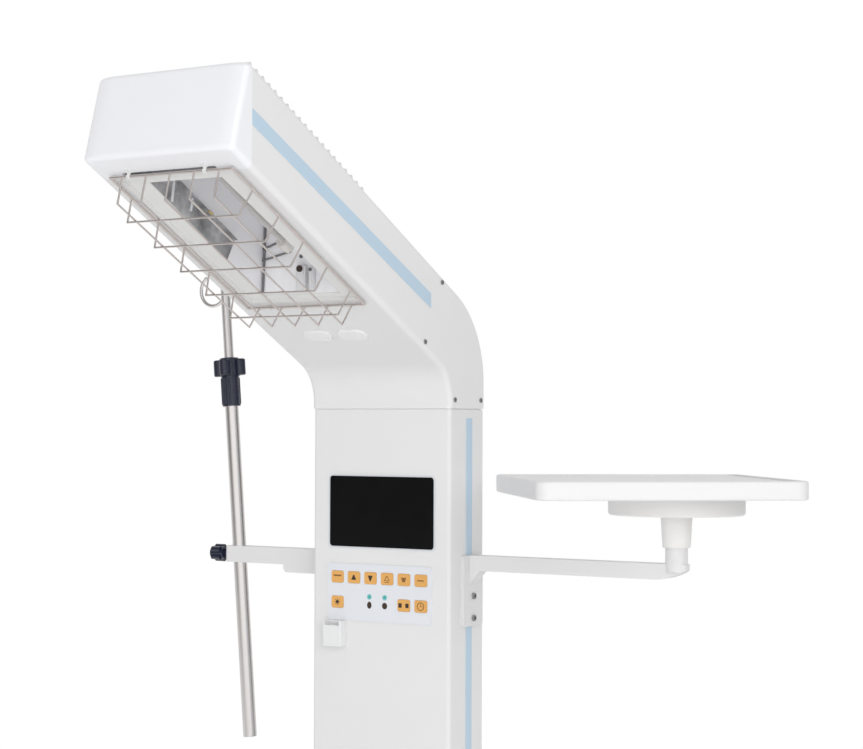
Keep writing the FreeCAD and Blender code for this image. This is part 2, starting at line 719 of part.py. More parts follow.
def behind_rear_plate(depth, offset=0.0):
    """A slab that leans as the rear plate does, with its front offset from the plate's rear face."""
    low = HOUSING_LOW - 5.0
    top = REFLECTOR_HEIGHT + 5.0
    near_low = rear_plate_s(low) + offset
    near_top = rear_plate_s(top) + offset
    return prism([
        (-COLUMN_WIDTH, -near_low, low),
        (-COLUMN_WIDTH, -near_top, top),
        (-COLUMN_WIDTH, -(near_top - depth), top),
        (-COLUMN_WIDTH, -(near_low - depth), low),
    ], Vector(2 * COLUMN_WIDTH, 0, 0))


def make_reflector():
    """Inner housing of the heater, open downwards, with its two end plates."""
    hollow = housing_hollow(REFLECTOR_SHEET)
    add("reflector_housing", in_head(housing_block(0.0).cut(hollow)))
    inside = housing_block(REFLECTOR_SHEET + SLIDE_GAP / 3.0)
    sheet = REFLECTOR_SHEET / COS_TILT
    rear = behind_rear_plate(sheet, sheet).common(inside)
    front = box(-COLUMN_WIDTH, COLUMN_WIDTH, -HOUSING_FRONT, -OPENING_FRONT, 0.0, HEAD_THICKNESS)
    front = front.common(inside)
    for plate in (rear, front):
        add("reflector_end_plates", in_head(plate))


def make_side_mirrors():
    """Polished strips with a fold on top, along both lower walls of the heater housing."""
    front = OPENING_FRONT - MIRROR_FROM_FRONT
    rear = front - MIRROR_LENGTH
    wall = housing_hollow(REFLECTOR_SHEET)
    parts = []
    for width, low, high in ((REFLECTOR_SHEET, HOUSING_LOW, MIRROR_HIGH),
                             (MIRROR_FOLD, MIRROR_HIGH, MIRROR_HIGH + REFLECTOR_SHEET)):
        core = housing_hollow(REFLECTOR_SHEET + width)
        band = box(-COLUMN_WIDTH, COLUMN_WIDTH, -front, -rear, low, high)
        parts.append(wall.cut(core).common(band))
    strips = fuse(parts)
    for strip in strips.Solids:
        add("side_mirrors", in_head(strip))


def make_elements():
    """Two sheathed heating rods between ceramic sockets on the end plates."""
    radius = SOCKET_DIAMETER / 2.0
    sheet = REFLECTOR_SHEET / COS_TILT
    rear = rear_plate_s(ELEMENT_HEIGHT) + sheet
    seat = rear_plate_s(ELEMENT_HEIGHT - radius) + sheet
    front = OPENING_FRONT
    behind = behind_rear_plate(SOCKET_LENGTH * 2.0, sheet)
    for side in (-1, 1):
        x = side * ELEMENT_SPACING / 2.0
        tube = in_head(disc(ELEMENT_DIAMETER / 2.0, front - rear - 2 * ELEMENT_END,
                            Vector(x, -(rear + ELEMENT_END), ELEMENT_HEIGHT), Vector(0, -1, 0)))
        add("heating_elements", tube)
        rear_body = disc(radius, rear + SOCKET_LENGTH - seat, Vector(x, -seat, ELEMENT_HEIGHT),
                         Vector(0, -1, 0))
        rear_hole = disc(ELEMENT_DIAMETER / 2.0, SOCKET_LENGTH,
                         Vector(x, -(rear + ELEMENT_END), ELEMENT_HEIGHT), Vector(0, -1, 0))
        add("element_sockets", in_head(rear_body.cut(behind).cut(rear_hole)))
        front_body = disc(radius, SOCKET_LENGTH, Vector(x, -front, ELEMENT_HEIGHT), Y_AXIS)
        front_hole = disc(ELEMENT_DIAMETER / 2.0, SOCKET_LENGTH,
                          Vector(x, -front + ELEMENT_END, ELEMENT_HEIGHT), Y_AXIS)
        add("element_sockets", in_head(front_body.cut(front_hole)))


def make_oval_lamps():
    """Two raised oval lenses under the head, behind the guard."""
    for x0, x1 in OVAL_PLACES:
        lens = box(x0, x1, -OVAL_FRONT, -OVAL_REAR, -OVAL_PROUD, 0.0)
        lens = lens.makeFillet((OVAL_FRONT - OVAL_REAR) / 2.0 - 0.2, edges_along(lens, Z_AXIS))
        rim = [e for e in lens.Edges if all(abs(v.Z + OVAL_PROUD) < 1e-6 for v in e.Vertexes)]
        lens = lens.makeFillet(OVAL_PROUD * 0.7, rim)
        add("oval_lamps", in_head(lens))


def make_guard():
    """Wire basket below the opening: a rim, U-shaped cross wires and long wires turned up at the ends."""
    radius = RIM_WIRE / 2.0
    wire = BASKET_WIRE / 2.0
    rear = GUARD_REAR
    front = GUARD_REAR + GUARD_LENGTH
    half = GUARD_HALF_WIDTH
    rim_z = -GUARD_DROP
    low_z = rim_z - GUARD_DEPTH
    corners = [(-half, rear), (half, rear), (half, front), (-half, front)]
    pieces = []
    for i, (x, s) in enumerate(corners):
        nx, ns = corners[(i + 1) % 4]
        pieces.append(rod(Vector(x, -s, rim_z), Vector(nx, -ns, rim_z), radius))
        pieces.append(Part.makeSphere(radius, Vector(x, -s, rim_z)))
    for i in range(CROSS_WIRE_COUNT):
        s = rear + CROSS_WIRE_FIRST + i * CROSS_WIRE_PITCH
        path = [(-half, rim_z), (-BASKET_HALF_WIDTH, low_z), (BASKET_HALF_WIDTH, low_z), (half, rim_z)]
        points = [Vector(x, -s, z) for x, z in path]
        for a, b in zip(points[:-1], points[1:]):
            pieces.append(rod(a, b, wire))
        pieces.extend(Part.makeSphere(wire, p) for p in points[1:3])
    for i in range(LONG_WIRE_COUNT):
        x = (i - (LONG_WIRE_COUNT - 1) / 2.0) * LONG_WIRE_PITCH
        z = low_z + BASKET_WIRE * 0.8
        path = [(rear, rim_z), (rear + 8.0, z), (front - 8.0, z), (front, rim_z)]
        points = [Vector(x, -s, h) for s, h in path]
        for a, b in zip(points[:-1], points[1:]):
            pieces.append(rod(a, b, wire))
        pieces.extend(Part.makeSphere(wire, p) for p in points[1:3])
    guard = pieces[0].multiFuse(pieces[1:])
    add("wire_guard", in_head(guard))


def make_guard_clips():
    """Sheet clips that hold the guard's front and rear rim wires under the head."""
    sheet = CLIP_SHEET
    low = -GUARD_DROP - RIM_WIRE / 2.0 - 0.1
    reach = RIM_WIRE / 2.0 + 0.1
    rows = ((GUARD_REAR + GUARD_LENGTH, 1.0, GUARD_CLIPS_FRONT), (GUARD_REAR, -1.0, GUARD_CLIPS_REAR))
    for s, outward, places in rows:
        profile = [
            (reach + CLIP_FOOT, 0.0),
            (reach, 0.0),
            (reach, low),
            (-reach, low),
            (-reach, low - sheet),
            (reach + sheet, low - sheet),
            (reach + sheet, -sheet),
            (reach + CLIP_FOOT, -sheet),
        ]
        for x in places:
            outline = [(x - CLIP_STRIP / 2.0, -(s + outward * a), z) for a, z in profile]
            add("guard_clips", in_head(prism(outline, Vector(CLIP_STRIP, 0, 0))))


# Column and the joint under the hood


def make_column_shell():
    """Folded column, open at the rear between two inner lips, with a plate across its top."""
    outer = box(-HALF_WIDTH, HALF_WIDTH, FRONT, BACK, COLUMN_BOTTOM, COLUMN_TOP)
    upright = edges_along(outer, Z_AXIS)
    outer = outer.makeFillet(COLUMN_EDGE, [e for e in upright if e.Vertexes[0].Y < 0])
    inner_half = HALF_WIDTH - COLUMN_WALL
    lip_back = BACK - REAR_COVER_THICKNESS
    inside = box(-inner_half, inner_half, FRONT + COLUMN_WALL, lip_back - COLUMN_WALL,
                 COLUMN_BOTTOM - 1.0, COLUMN_TOP - COLUMN_WALL)
    recess = box(-inner_half, inner_half, lip_back, BACK + 1.0, COLUMN_BOTTOM - 1.0, COLUMN_TOP + 1.0)
    lip_half = inner_half - REAR_LIP
    between = box(-lip_half, lip_half, lip_back - COLUMN_WALL - 1.0, BACK + 1.0,
                  COLUMN_BOTTOM - 1.0, COLUMN_TOP - COLUMN_WALL)
    duct = box(-DUCT_HALF_WIDTH, DUCT_HALF_WIDTH, -DUCT_HALF_DEPTH, DUCT_HALF_DEPTH,
               COLUMN_TOP - COLUMN_WALL - 1.0, COLUMN_TOP + 1.0)
    holes = [inside, recess, between, duct]
    for x, z in key_places():
        holes.append(disc(KEY_STEM_DIAMETER / 2.0 + RUNNING_CLEARANCE, COLUMN_WALL + 2.0,
                          Vector(x, FRONT - 1.0, z), Y_AXIS))
    for x in LED_PLACES:
        holes.append(disc(LED_DIAMETER / 2.0 + RUNNING_CLEARANCE, COLUMN_WALL + 2.0,
                          Vector(x, FRONT - 1.0, SEAM_HEIGHT - LED_DROP), Y_AXIS))
    add("column_shell", outer.cut(Part.makeCompound(holes)))


def make_seam_spacer():
    """Recessed plate that leaves the dark groove between the column and the hood."""
    plate = box(-HALF_WIDTH + SEAM_INSET, HALF_WIDTH - SEAM_INSET, FRONT + SEAM_INSET,
                BACK - REAR_COVER_THICKNESS - SEAM_INSET, COLUMN_TOP, SEAM_HEIGHT)
    duct = box(-DUCT_HALF_WIDTH, DUCT_HALF_WIDTH, -DUCT_HALF_DEPTH, DUCT_HALF_DEPTH,
               COLUMN_TOP - 1.0, SEAM_HEIGHT + 1.0)
    add("seam_spacer", plate.cut(duct))


def make_rear_cover():
    """Long cover screwed on the lips, with louvre slots near both ends and the mains panel cut-out."""
    half = HALF_WIDTH - COLUMN_WALL - SLIDE_GAP
    y = BACK - REAR_COVER_THICKNESS
    cover = box(-half, half, y, BACK, COLUMN_BOTTOM + SLIDE_GAP, COLUMN_TOP - SLIDE_GAP)
    slots = []
    for start in (LOUVRE_LOW, LOUVRE_HIGH):
        for i in range(LOUVRE_COUNT):
            z = start + i * LOUVRE_PITCH
            slot = box(-LOUVRE_LENGTH / 2.0, LOUVRE_LENGTH / 2.0, y - 1.0, BACK + 1.0, z, z + LOUVRE_OPENING)
            slots.append(slot)
    inlet_w = INLET_WIDTH / 2.0 + SLIDE_GAP
    inlet_h = INLET_HEIGHT / 2.0 + SLIDE_GAP
    slots.append(box(-inlet_w, inlet_w, y - 1.0, BACK + 1.0, INLET_Z - inlet_h, INLET_Z + inlet_h))
    rows = 6
    screw_span = COLUMN_TOP - COLUMN_BOTTOM - 2 * COVER_SCREW_MARGIN
    for i in range(rows):
        z = COLUMN_BOTTOM + COVER_SCREW_MARGIN + i * screw_span / (rows - 1)
        for side in (-1, 1):
            centre = Vector(side * (half - REAR_LIP / 2.0), BACK - 1.2, z)
            slots.append(disc(3.5, 3.0, centre, Y_AXIS))
            slots.append(disc(2.0, 5.0, centre - Y_AXIS * 3.0, Y_AXIS))
    add("rear_cover", cover.cut(Part.makeCompound(slots)))


def make_mains_inlet():
    """Appliance inlet with its fuse drawer and the opening for the switch."""
    y = BACK - REAR_COVER_THICKNESS - 30.0
    body = box(-INLET_WIDTH / 2.0, INLET_WIDTH / 2.0, y, BACK, INLET_Z - INLET_HEIGHT / 2.0,
               INLET_Z + INLET_HEIGHT / 2.0)
    rim = box(-INLET_WIDTH / 2.0 - INLET_RIM, INLET_WIDTH / 2.0 + INLET_RIM, BACK, BACK + INLET_RIM_PROUD,
              INLET_Z - INLET_HEIGHT / 2.0 - INLET_RIM, INLET_Z + INLET_HEIGHT / 2.0 + INLET_RIM)
    rim = rim.makeFillet(2.5, edges_along(rim, Y_AXIS))
    body = fuse([body, rim])
    top = BACK + INLET_RIM_PROUD
    socket = box(-12.0, 12.0, top - 17.0, top + 1.0, SOCKET_Z - 8.2, SOCKET_Z + 8.2)
    socket = socket.makeChamfer(4.5, [e for e in edges_along(socket, Y_AXIS) if e.Vertexes[0].Z > SOCKET_Z])
    body = body.cut(socket)
    well = box(-ROCKER_WIDTH / 2.0 - SLIDE_GAP, ROCKER_WIDTH / 2.0 + SLIDE_GAP, top - ROCKER_WELL, top + 1.0,
               ROCKER_Z - ROCKER_HEIGHT / 2.0 - SLIDE_GAP, ROCKER_Z + ROCKER_HEIGHT / 2.0 + SLIDE_GAP)
    body = body.cut(well)
    pin_hole = disc(ROCKER_PIN / 2.0 + RUNNING_CLEARANCE, ROCKER_WIDTH + 8.0,
                    Vector(-ROCKER_WIDTH / 2.0 - 4.0, rocker_pin_y(), ROCKER_Z), X_AXIS)
    body = body.cut(pin_hole)
    contacts = []
    for x, z in ((0.0, SOCKET_Z + 3.5), (-7.0, SOCKET_Z - 1.5), (7.0, SOCKET_Z - 1.5)):
        contacts.append(box(x - 1.0, x + 1.0, top - 18.0, top - 6.0, z - 2.0, z + 2.0))
    add("mains_inlet", fuse([body] + contacts))


def rocker_pin_y():
    return BACK + INLET_RIM_PROUD - 4.5


def make_mains_rocker():
    """Rocker of the mains switch, turned on its own pin."""
    y = rocker_pin_y()
    half = ROCKER_HEIGHT / 2.0 - 0.6
    lean = math.tan(math.radians(ROCKER_ANGLE))
    reach = 4.5
    points = [
        (-ROCKER_WIDTH / 2.0, y - 3.0, ROCKER_Z - 5.0),
        (-ROCKER_WIDTH / 2.0, y - 3.0, ROCKER_Z + 5.0),
        (-ROCKER_WIDTH / 2.0, y + reach - half * lean, ROCKER_Z + half),
        (-ROCKER_WIDTH / 2.0, y + reach, ROCKER_Z),
        (-ROCKER_WIDTH / 2.0, y + reach - half * lean, ROCKER_Z - half),
    ]
    body = prism(points, Vector(ROCKER_WIDTH, 0, 0))
    pin = disc(ROCKER_PIN / 2.0, ROCKER_WIDTH + 6.0, Vector(-ROCKER_WIDTH / 2.0 - 3.0, y, ROCKER_Z), X_AXIS)
    add("mains_rocker", fuse([body, pin]))


def make_push_handle():
    """Bent tube across the column's back with two round flanges."""
    r = HANDLE_TUBE / 2.0
    half = HANDLE_WIDTH / 2.0
    bend = HANDLE_BEND
    y0 = BACK
    y1 = BACK + HANDLE_REACH
    c = math.cos(math.pi / 4.0)
    z = HANDLE_Z
    path = Part.Wire([
        Part.LineSegment(Vector(-half, y0, z), Vector(-half, y1 - bend, z)).toShape(),
        Part.Arc(Vector(-half, y1 - bend, z), Vector(-half + bend * (1 - c), y1 - bend * (1 - c), z),
                 Vector(-half + bend, y1, z)).toShape(),
        Part.LineSegment(Vector(-half + bend, y1, z), Vector(half - bend, y1, z)).toShape(),
        Part.Arc(Vector(half - bend, y1, z), Vector(half - bend * (1 - c), y1 - bend * (1 - c), z),
                 Vector(half, y1 - bend, z)).toShape(),
        Part.LineSegment(Vector(half, y1 - bend, z), Vector(half, y0, z)).toShape(),
    ])
    section = Part.Wire([Part.Circle(Vector(-half, y0, z), Y_AXIS, r).toShape()])
    tube = path.makePipeShell([section], True, True)
    flanges = [disc(r * 1.9, 5.0, Vector(side * half, y0, z), Y_AXIS) for side in (-1, 1)]
    add("push_handle", fuse([tube] + flanges))


def make_column_stripes():
    """Coloured strips on both sides of the column, broken where the arm flanges sit."""
    y0 = FRONT + COLUMN_STRIPE_FROM_FRONT - COLUMN_STRIPE_WIDTH / 2.0
    y1 = y0 + COLUMN_STRIPE_WIDTH
    flange_top = ARM_TOP + SLIDE_GAP
    flange_low = ARM_TOP - FLANGE_HEIGHT - SLIDE_GAP
    for z0, z1 in ((flange_top, SEAM_HEIGHT - COLUMN_STRIPE_TOP_DROP), (COLUMN_STRIPE_BOTTOM, flange_low)):
        right = box(HALF_WIDTH, HALF_WIDTH + STRIPE_THICKNESS, y0, y1, z0, z1)
        add("column_stripes", right, mirrored_x(right))


# Control panel


def key_places():
    """Centres of the nine keys: a full upper row, and three places of the lower row."""
    first = OVERLAY_CENTRE_X - KEY_PITCH * (KEY_COLUMNS - 1) / 2.0
    upper = [(first + i * KEY_PITCH, SEAM_HEIGHT - KEY_ROW_DROPS[0]) for i in range(KEY_COLUMNS)]
    lower = [(first + i * KEY_PITCH, SEAM_HEIGHT - KEY_ROW_DROPS[1]) for i in KEY_LOWER_COLUMNS]
    return upper + lower


def make_display():
    z = SEAM_HEIGHT - DISPLAY_DROP
    outer = rounded_plate_xz(DISPLAY_WIDTH, DISPLAY_HEIGHT, BEZEL_PROUD, DISPLAY_CORNER,
                             DISPLAY_CENTRE_X, FRONT - BEZEL_PROUD, z)
    inner_w = DISPLAY_WIDTH - 2 * BEZEL_RIM
    inner_h = DISPLAY_HEIGHT - 2 * BEZEL_RIM
    hole = rounded_plate_xz(inner_w, inner_h, BEZEL_PROUD + 2.0, DISPLAY_CORNER - BEZEL_RIM,
                            DISPLAY_CENTRE_X, FRONT - BEZEL_PROUD - 1.0, z)
    add("display_bezel", outer.cut(hole))
    depth = BEZEL_PROUD - GLASS_RECESS
    glass = rounded_plate_xz(inner_w - 0.2, inner_h - 0.2, depth, DISPLAY_CORNER - BEZEL_RIM - 0.1,
                             DISPLAY_CENTRE_X, FRONT - depth, z)
    add("display_glass", glass)


def make_keypad():
    """Overlay plate with a window for each key, and the keys with their guide stems."""
    z = SEAM_HEIGHT - OVERLAY_DROP
    plate = rounded_plate_xz(OVERLAY_WIDTH, OVERLAY_HEIGHT, OVERLAY_THICKNESS, OVERLAY_CORNER,
                             OVERLAY_CENTRE_X, FRONT - OVERLAY_THICKNESS, z)
    holes = []
    for i, (kx, kz) in enumerate(key_places()):
        holes.append(rounded_plate_xz(KEY_WIDTH + 2 * SLIDE_GAP, KEY_HEIGHT + 2 * SLIDE_GAP,
                                      OVERLAY_THICKNESS + 2.0, KEY_CORNER + SLIDE_GAP, kx,
                                      FRONT - OVERLAY_THICKNESS - 1.0, kz))
        cap = rounded_plate_xz(KEY_WIDTH, KEY_HEIGHT, KEY_THICKNESS, KEY_CORNER, kx,
                               FRONT - KEY_TRAVEL - KEY_THICKNESS, kz)
        cap = cap.makeFillet(0.5, [e for e in cap.Edges
                                   if all(abs(v.Y - (FRONT - KEY_TRAVEL - KEY_THICKNESS)) < 1e-6
                                          for v in e.Vertexes)])
        stem = disc(KEY_STEM_DIAMETER / 2.0, KEY_TRAVEL + COLUMN_WALL + KEY_STEM_TAIL,
                    Vector(kx, FRONT - KEY_TRAVEL, kz), Y_AXIS)
        add("key_%d" % (i + 1), fuse([cap, stem]))
    for x in LED_PLACES:
        centre = Vector(x, FRONT - OVERLAY_THICKNESS - 1.0, SEAM_HEIGHT - LED_DROP)
        holes.append(disc(LED_DIAMETER / 2.0 + RUNNING_CLEARANCE, OVERLAY_THICKNESS + 2.0, centre, Y_AXIS))
        face = FRONT - OVERLAY_THICKNESS
        barrel = disc(LED_DIAMETER / 2.0, OVERLAY_THICKNESS + COLUMN_WALL + LED_TAIL,
                      Vector(x, face, SEAM_HEIGHT - LED_DROP), Y_AXIS)
        dome = Part.makeSphere(LED_DIAMETER / 2.0, Vector(x, face + 1.3, SEAM_HEIGHT - LED_DROP))
        add("keypad_leds", fuse([barrel, dome]))
    add("keypad_overlay", plate.cut(Part.makeCompound(holes)))


def make_control_board():
    """Board behind the column's front wall with a switch under each key, on four pillars."""
    switch_face = FRONT + COLUMN_WALL + KEY_STEM_TAIL + KEY_TRAVEL + 0.2
    board_face = switch_face + SWITCH_HEIGHT
    z = SEAM_HEIGHT - OVERLAY_DROP
    half_w = OVERLAY_WIDTH / 2.0 + 8.0
    half_h = OVERLAY_HEIGHT / 2.0 + 6.0
    x = OVERLAY_CENTRE_X
    pieces = [box(x - half_w, x + half_w, board_face, board_face + BOARD_THICKNESS, z - half_h, z + half_h)]
    for kx, kz in key_places():
        pieces.append(box(kx - 3.0, kx + 3.0, switch_face, board_face, kz - 3.0, kz + 3.0))
    for sx in (-1, 1):
        for sz in (-1, 1):
            centre = Vector(x + sx * (half_w - 4.0), FRONT + COLUMN_WALL, z + sz * (half_h - 4.0))
            pieces.append(disc(3.0, board_face - FRONT - COLUMN_WALL, centre, Y_AXIS))
    add("control_board", fuse(pieces))


def make_sensor_clip():
    """Open-topped box holder for the sensor lead: back plate, floor, two cheeks and a front wall."""
    x0 = CLIP_CENTRE_X - CLIP_WIDTH / 2.0
    x1 = CLIP_CENTRE_X + CLIP_WIDTH / 2.0
    top = SEAM_HEIGHT - CLIP_TOP_DROP
    low = top - CLIP_HEIGHT
    wall = CLIP_WALL
    body = box(x0, x1, FRONT - CLIP_DEPTH, FRONT, low, top)
    body = body.makeFillet(CLIP_EDGE, [e for e in edges_along(body, Z_AXIS) if e.Vertexes[0].Y < FRONT - 1.0])
    pocket = box(x0 + wall, x1 - wall, FRONT - CLIP_DEPTH + wall, FRONT - wall, low + wall, top + 1.0)
    lowered = box(x0 + wall, x1 - wall, FRONT - CLIP_DEPTH - 1.0, FRONT - wall, low + CLIP_LIP, top + 1.0)
    add("sensor_clip", body.cut(pocket).cut(lowered))



# Arms


def flange(side, centre_y):
    x0 = HALF_WIDTH if side > 0 else -HALF_WIDTH - FLANGE_THICKNESS
    plate = box(x0, x0 + FLANGE_THICKNESS, centre_y - FLANGE_WIDTH / 2.0, centre_y + FLANGE_WIDTH / 2.0,
                ARM_TOP - FLANGE_HEIGHT, ARM_TOP)
    return plate.makeFillet(FLANGE_CORNER, edges_along(plate, X_AXIS))


def pole_axis(u):
    """Point on the pole, u along it from where it crosses the arm's middle."""
    lean = math.radians(POLE_LEAN)
    return Vector(POLE_X - u * math.sin(lean), POLE_ARM_Y, ARM_MIDDLE + u * math.cos(lean))


def pole_frame(u):
    lean = math.radians(POLE_LEAN)
    return Placement(pole_axis(u), Rotation(Z_AXIS, Vector(-math.sin(lean), 0, math.cos(lean))))


def on_pole(shape):
    return moved(shape, pole_frame(0.0))


def make_pole_arm():
    """Square arm to the left, a bored block welded to its end, and a short bar below its root."""
    root = -HALF_WIDTH - FLANGE_THICKNESS
    half = ARM_SECTION / 2.0
    bar = box(-POLE_ARM_END, root, POLE_ARM_Y - half, POLE_ARM_Y + half, ARM_TOP - ARM_SECTION, ARM_TOP)
    bar = bar.makeFillet(ARM_TIP_ROUNDING, [e for e in edges_along(bar, Z_AXIS)
                                            if e.Vertexes[0].X < root - 1.0])
    gusset = box(-POLE_ARM_GUSSET_END, root, POLE_ARM_Y - half, POLE_ARM_Y + half,
                 ARM_TOP - ARM_SECTION - POLE_ARM_GUSSET_DROP, ARM_TOP - ARM_SECTION)
    gusset = gusset.makeFillet(POLE_ARM_GUSSET_DROP * 0.6, [
        e for e in edges_along(gusset, Y_AXIS)
        if e.Vertexes[0].X < root - 1.0 and e.Vertexes[0].Z < ARM_TOP - ARM_SECTION - 1.0])
    eye = box(-POLE_ARM_END - 1.0, POLE_X + POLE_ARM_EYE / 2.0, POLE_ARM_Y - half - 1.0,
              POLE_ARM_Y + half + 1.0, ARM_TOP - ARM_SECTION - 1.0, ARM_TOP + 1.0)
    arm = fuse([flange(-1, POLE_ARM_Y), bar, gusset])
    bore = on_pole(disc(POLE_DIAMETER / 2.0 + POLE_CLEARANCE, 3 * ARM_SECTION,
                        Vector(0, 0, -1.5 * ARM_SECTION)))
    thread = disc(STUD_DIAMETER / 2.0 + RUNNING_CLEARANCE, POLE_ARM_END + POLE_X,
                  Vector(-POLE_ARM_END - 1.0, POLE_ARM_Y, ARM_MIDDLE), X_AXIS)
    arm = arm.cut(bore).cut(thread)
    add("pole_arm", arm.cut(eye), arm.common(eye))


def make_clamp_knob():
    """Lobed knob with the stud that presses on the pole."""
    outer_x = -POLE_ARM_END - STUD_GAP
    stud_end = POLE_X - POLE_DIAMETER / 2.0 - STUD_TIP_GAP
    body = disc(KNOB_DIAMETER / 2.0 - 3.5, KNOB_LENGTH, Vector(outer_x - KNOB_LENGTH, POLE_ARM_Y, ARM_MIDDLE),
                X_AXIS)
    lobes = []
    for i in range(KNOB_LOBES):
        angle = 2 * math.pi * i / KNOB_LOBES
        reach = KNOB_DIAMETER / 2.0 - 4.5
        centre = Vector(outer_x - KNOB_LENGTH + 3.0, POLE_ARM_Y + reach * math.cos(angle),
                        ARM_MIDDLE + reach * math.sin(angle))
        lobes.append(disc(4.5, KNOB_LENGTH - 8.0, centre, X_AXIS))
    neck = disc(STUD_DIAMETER / 2.0 + 2.0, STUD_GAP - SLIDE_GAP, Vector(outer_x, POLE_ARM_Y, ARM_MIDDLE),
                X_AXIS)
    stud = disc(STUD_DIAMETER / 2.0, stud_end - outer_x, Vector(outer_x, POLE_ARM_Y, ARM_MIDDLE), X_AXIS)
    add("clamp_knob", fuse([body] + lobes + [neck, stud]))


def make_pole_tube():
    outer = disc(POLE_DIAMETER / 2.0, POLE_TOP + POLE_BOTTOM, Vector(0, 0, -POLE_BOTTOM))
    inner = disc(POLE_DIAMETER / 2.0 - POLE_WALL, POLE_TOP + POLE_BOTTOM - POLE_WALL,
                 Vector(0, 0, -POLE_BOTTOM + POLE_WALL + 0.0))
    tube = outer.cut(inner)
    tube = tube.makeFillet(POLE_WALL * 0.6, [e for e in tube.Edges
                                             if all(abs(v.Z + POLE_BOTTOM) < 1e-6 for v in e.Vertexes)])
    add("pole_tube", on_pole(tube))


def make_pole_collar():
    """Ribbed body pressed on the tube, and the winged nut that turns on its neck."""
    radius = COLLAR_BODY_DIAMETER / 2.0
    neck = radius - 3.5
    rod_bore = ROD_DIAMETER / 2.0 + POLE_CLEARANCE
    neck_top = COLLAR_HEAD_TOP - 6.0
    body = revolved([
        (POLE_DIAMETER / 2.0, COLLAR_BODY_LOW),
        (radius - 1.0, COLLAR_BODY_LOW),
        (radius - 1.0, COLLAR_HEAD_LOW),
        (neck, COLLAR_HEAD_LOW),
        (neck, neck_top),
        (rod_bore, neck_top),
        (rod_bore, POLE_TOP),
        (POLE_DIAMETER / 2.0, POLE_TOP),
    ], Vector(0, 0, 0))
    ribs = []
    for i in range(COLLAR_RIBS):
        angle = 2 * math.pi * i / COLLAR_RIBS
        place = Vector((radius - 1.5) * math.cos(angle), (radius - 1.5) * math.sin(angle),
                       COLLAR_BODY_LOW + 3.0)
        ribs.append(disc(1.5, COLLAR_HEAD_LOW - COLLAR_BODY_LOW - 6.0, place))
    add("collar_body", on_pole(fuse([body] + ribs)))
    nut_low = COLLAR_HEAD_LOW + SLIDE_GAP
    hole_radius = rod_bore + COLLAR_NUT_PLAY
    nut = revolved([
        (neck + RUNNING_CLEARANCE, nut_low),
        (COLLAR_NUT_CORE / 2.0, nut_low),
        (COLLAR_NUT_CORE / 2.0, COLLAR_HEAD_TOP - 2.0),
        (COLLAR_NUT_CORE / 2.0 - 2.0, COLLAR_HEAD_TOP),
        (hole_radius, COLLAR_HEAD_TOP),
        (hole_radius, neck_top + SLIDE_GAP),
        (neck + RUNNING_CLEARANCE, neck_top + SLIDE_GAP),
    ], Vector(0, 0, 0))
    lobes = []
    bore = disc(neck + RUNNING_CLEARANCE, neck_top + SLIDE_GAP - nut_low + 1.0, Vector(0, 0, nut_low - 1.0))
    hole = disc(hole_radius, COLLAR_HEAD_TOP, Vector(0, 0, nut_low))
    for i in range(COLLAR_WINGS):
        angle = 2 * math.pi * i / COLLAR_WINGS + math.radians(COLLAR_TURN)
        reach = COLLAR_HEAD_DIAMETER / 2.0 - COLLAR_WING_RADIUS
        place = Vector(reach * math.cos(angle), reach * math.sin(angle), nut_low + 0.5)
        wing_height = COLLAR_HEAD_TOP - 3.0 - nut_low
        wing = revolved([
            (0.0, 0.0),
            (COLLAR_WING_RADIUS - COLLAR_WING_EDGE, 0.0),
            (COLLAR_WING_RADIUS, COLLAR_WING_EDGE),
            (COLLAR_WING_RADIUS, wing_height - COLLAR_WING_EDGE),
            (COLLAR_WING_RADIUS - COLLAR_WING_EDGE, wing_height),
            (0.0, wing_height),
        ], place)
        web = box(0, reach, -COLLAR_WING_RADIUS * 0.8, COLLAR_WING_RADIUS * 0.8, nut_low + 1.5,
                  COLLAR_HEAD_TOP - 4.0)
        web = moved(web, Placement(Vector(0, 0, 0), Rotation(Z_AXIS, math.degrees(angle))))
        lobes.extend([wing, web])
    head = fuse([nut] + lobes).cut(bore).cut(hole)
    add("collar_nut", on_pole(head))


def make_pole_rod():
    """Upper rod with its guide foot inside the tube and one open ring hook welded to its top."""
    radius = ROD_DIAMETER / 2.0
    foot_top = ROD_BOTTOM + ROD_FOOT
    shaft = disc(radius, ROD_TOP - foot_top, Vector(0, 0, foot_top))
    shaft = shaft.makeFillet(radius * 0.45, [e for e in shaft.Edges
                                             if all(abs(v.Z - ROD_TOP) < 1e-6 for v in e.Vertexes)
                                             and isinstance(e.Curve, Part.Circle)])
    foot = disc(POLE_DIAMETER / 2.0 - POLE_WALL - SLIDE_GAP, ROD_FOOT, Vector(0, 0, ROD_BOTTOM))
    centre = Vector(-HOOK_RADIUS, 0, ROD_TOP - HOOK_DROP)
    start = math.radians(0.0)
    end = math.radians(-HOOK_SWEEP)
    middle = (start + end) / 2.0
    points = [centre + Vector(math.cos(a), 0, math.sin(a)) * HOOK_RADIUS for a in (start, middle, end)]
    path = Part.Wire([Part.Arc(*points).toShape()])
    section = Part.Wire([Part.Circle(points[0], Z_AXIS, HOOK_WIRE / 2.0).toShape()])
    hook = path.makePipeShell([section], True, False)
    tip = Part.makeSphere(HOOK_WIRE / 2.0 + 0.4, points[2])
    hook = fuse([hook, tip]).cut(shaft)
    add("pole_rod", on_pole(shaft), on_pole(foot), on_pole(hook))


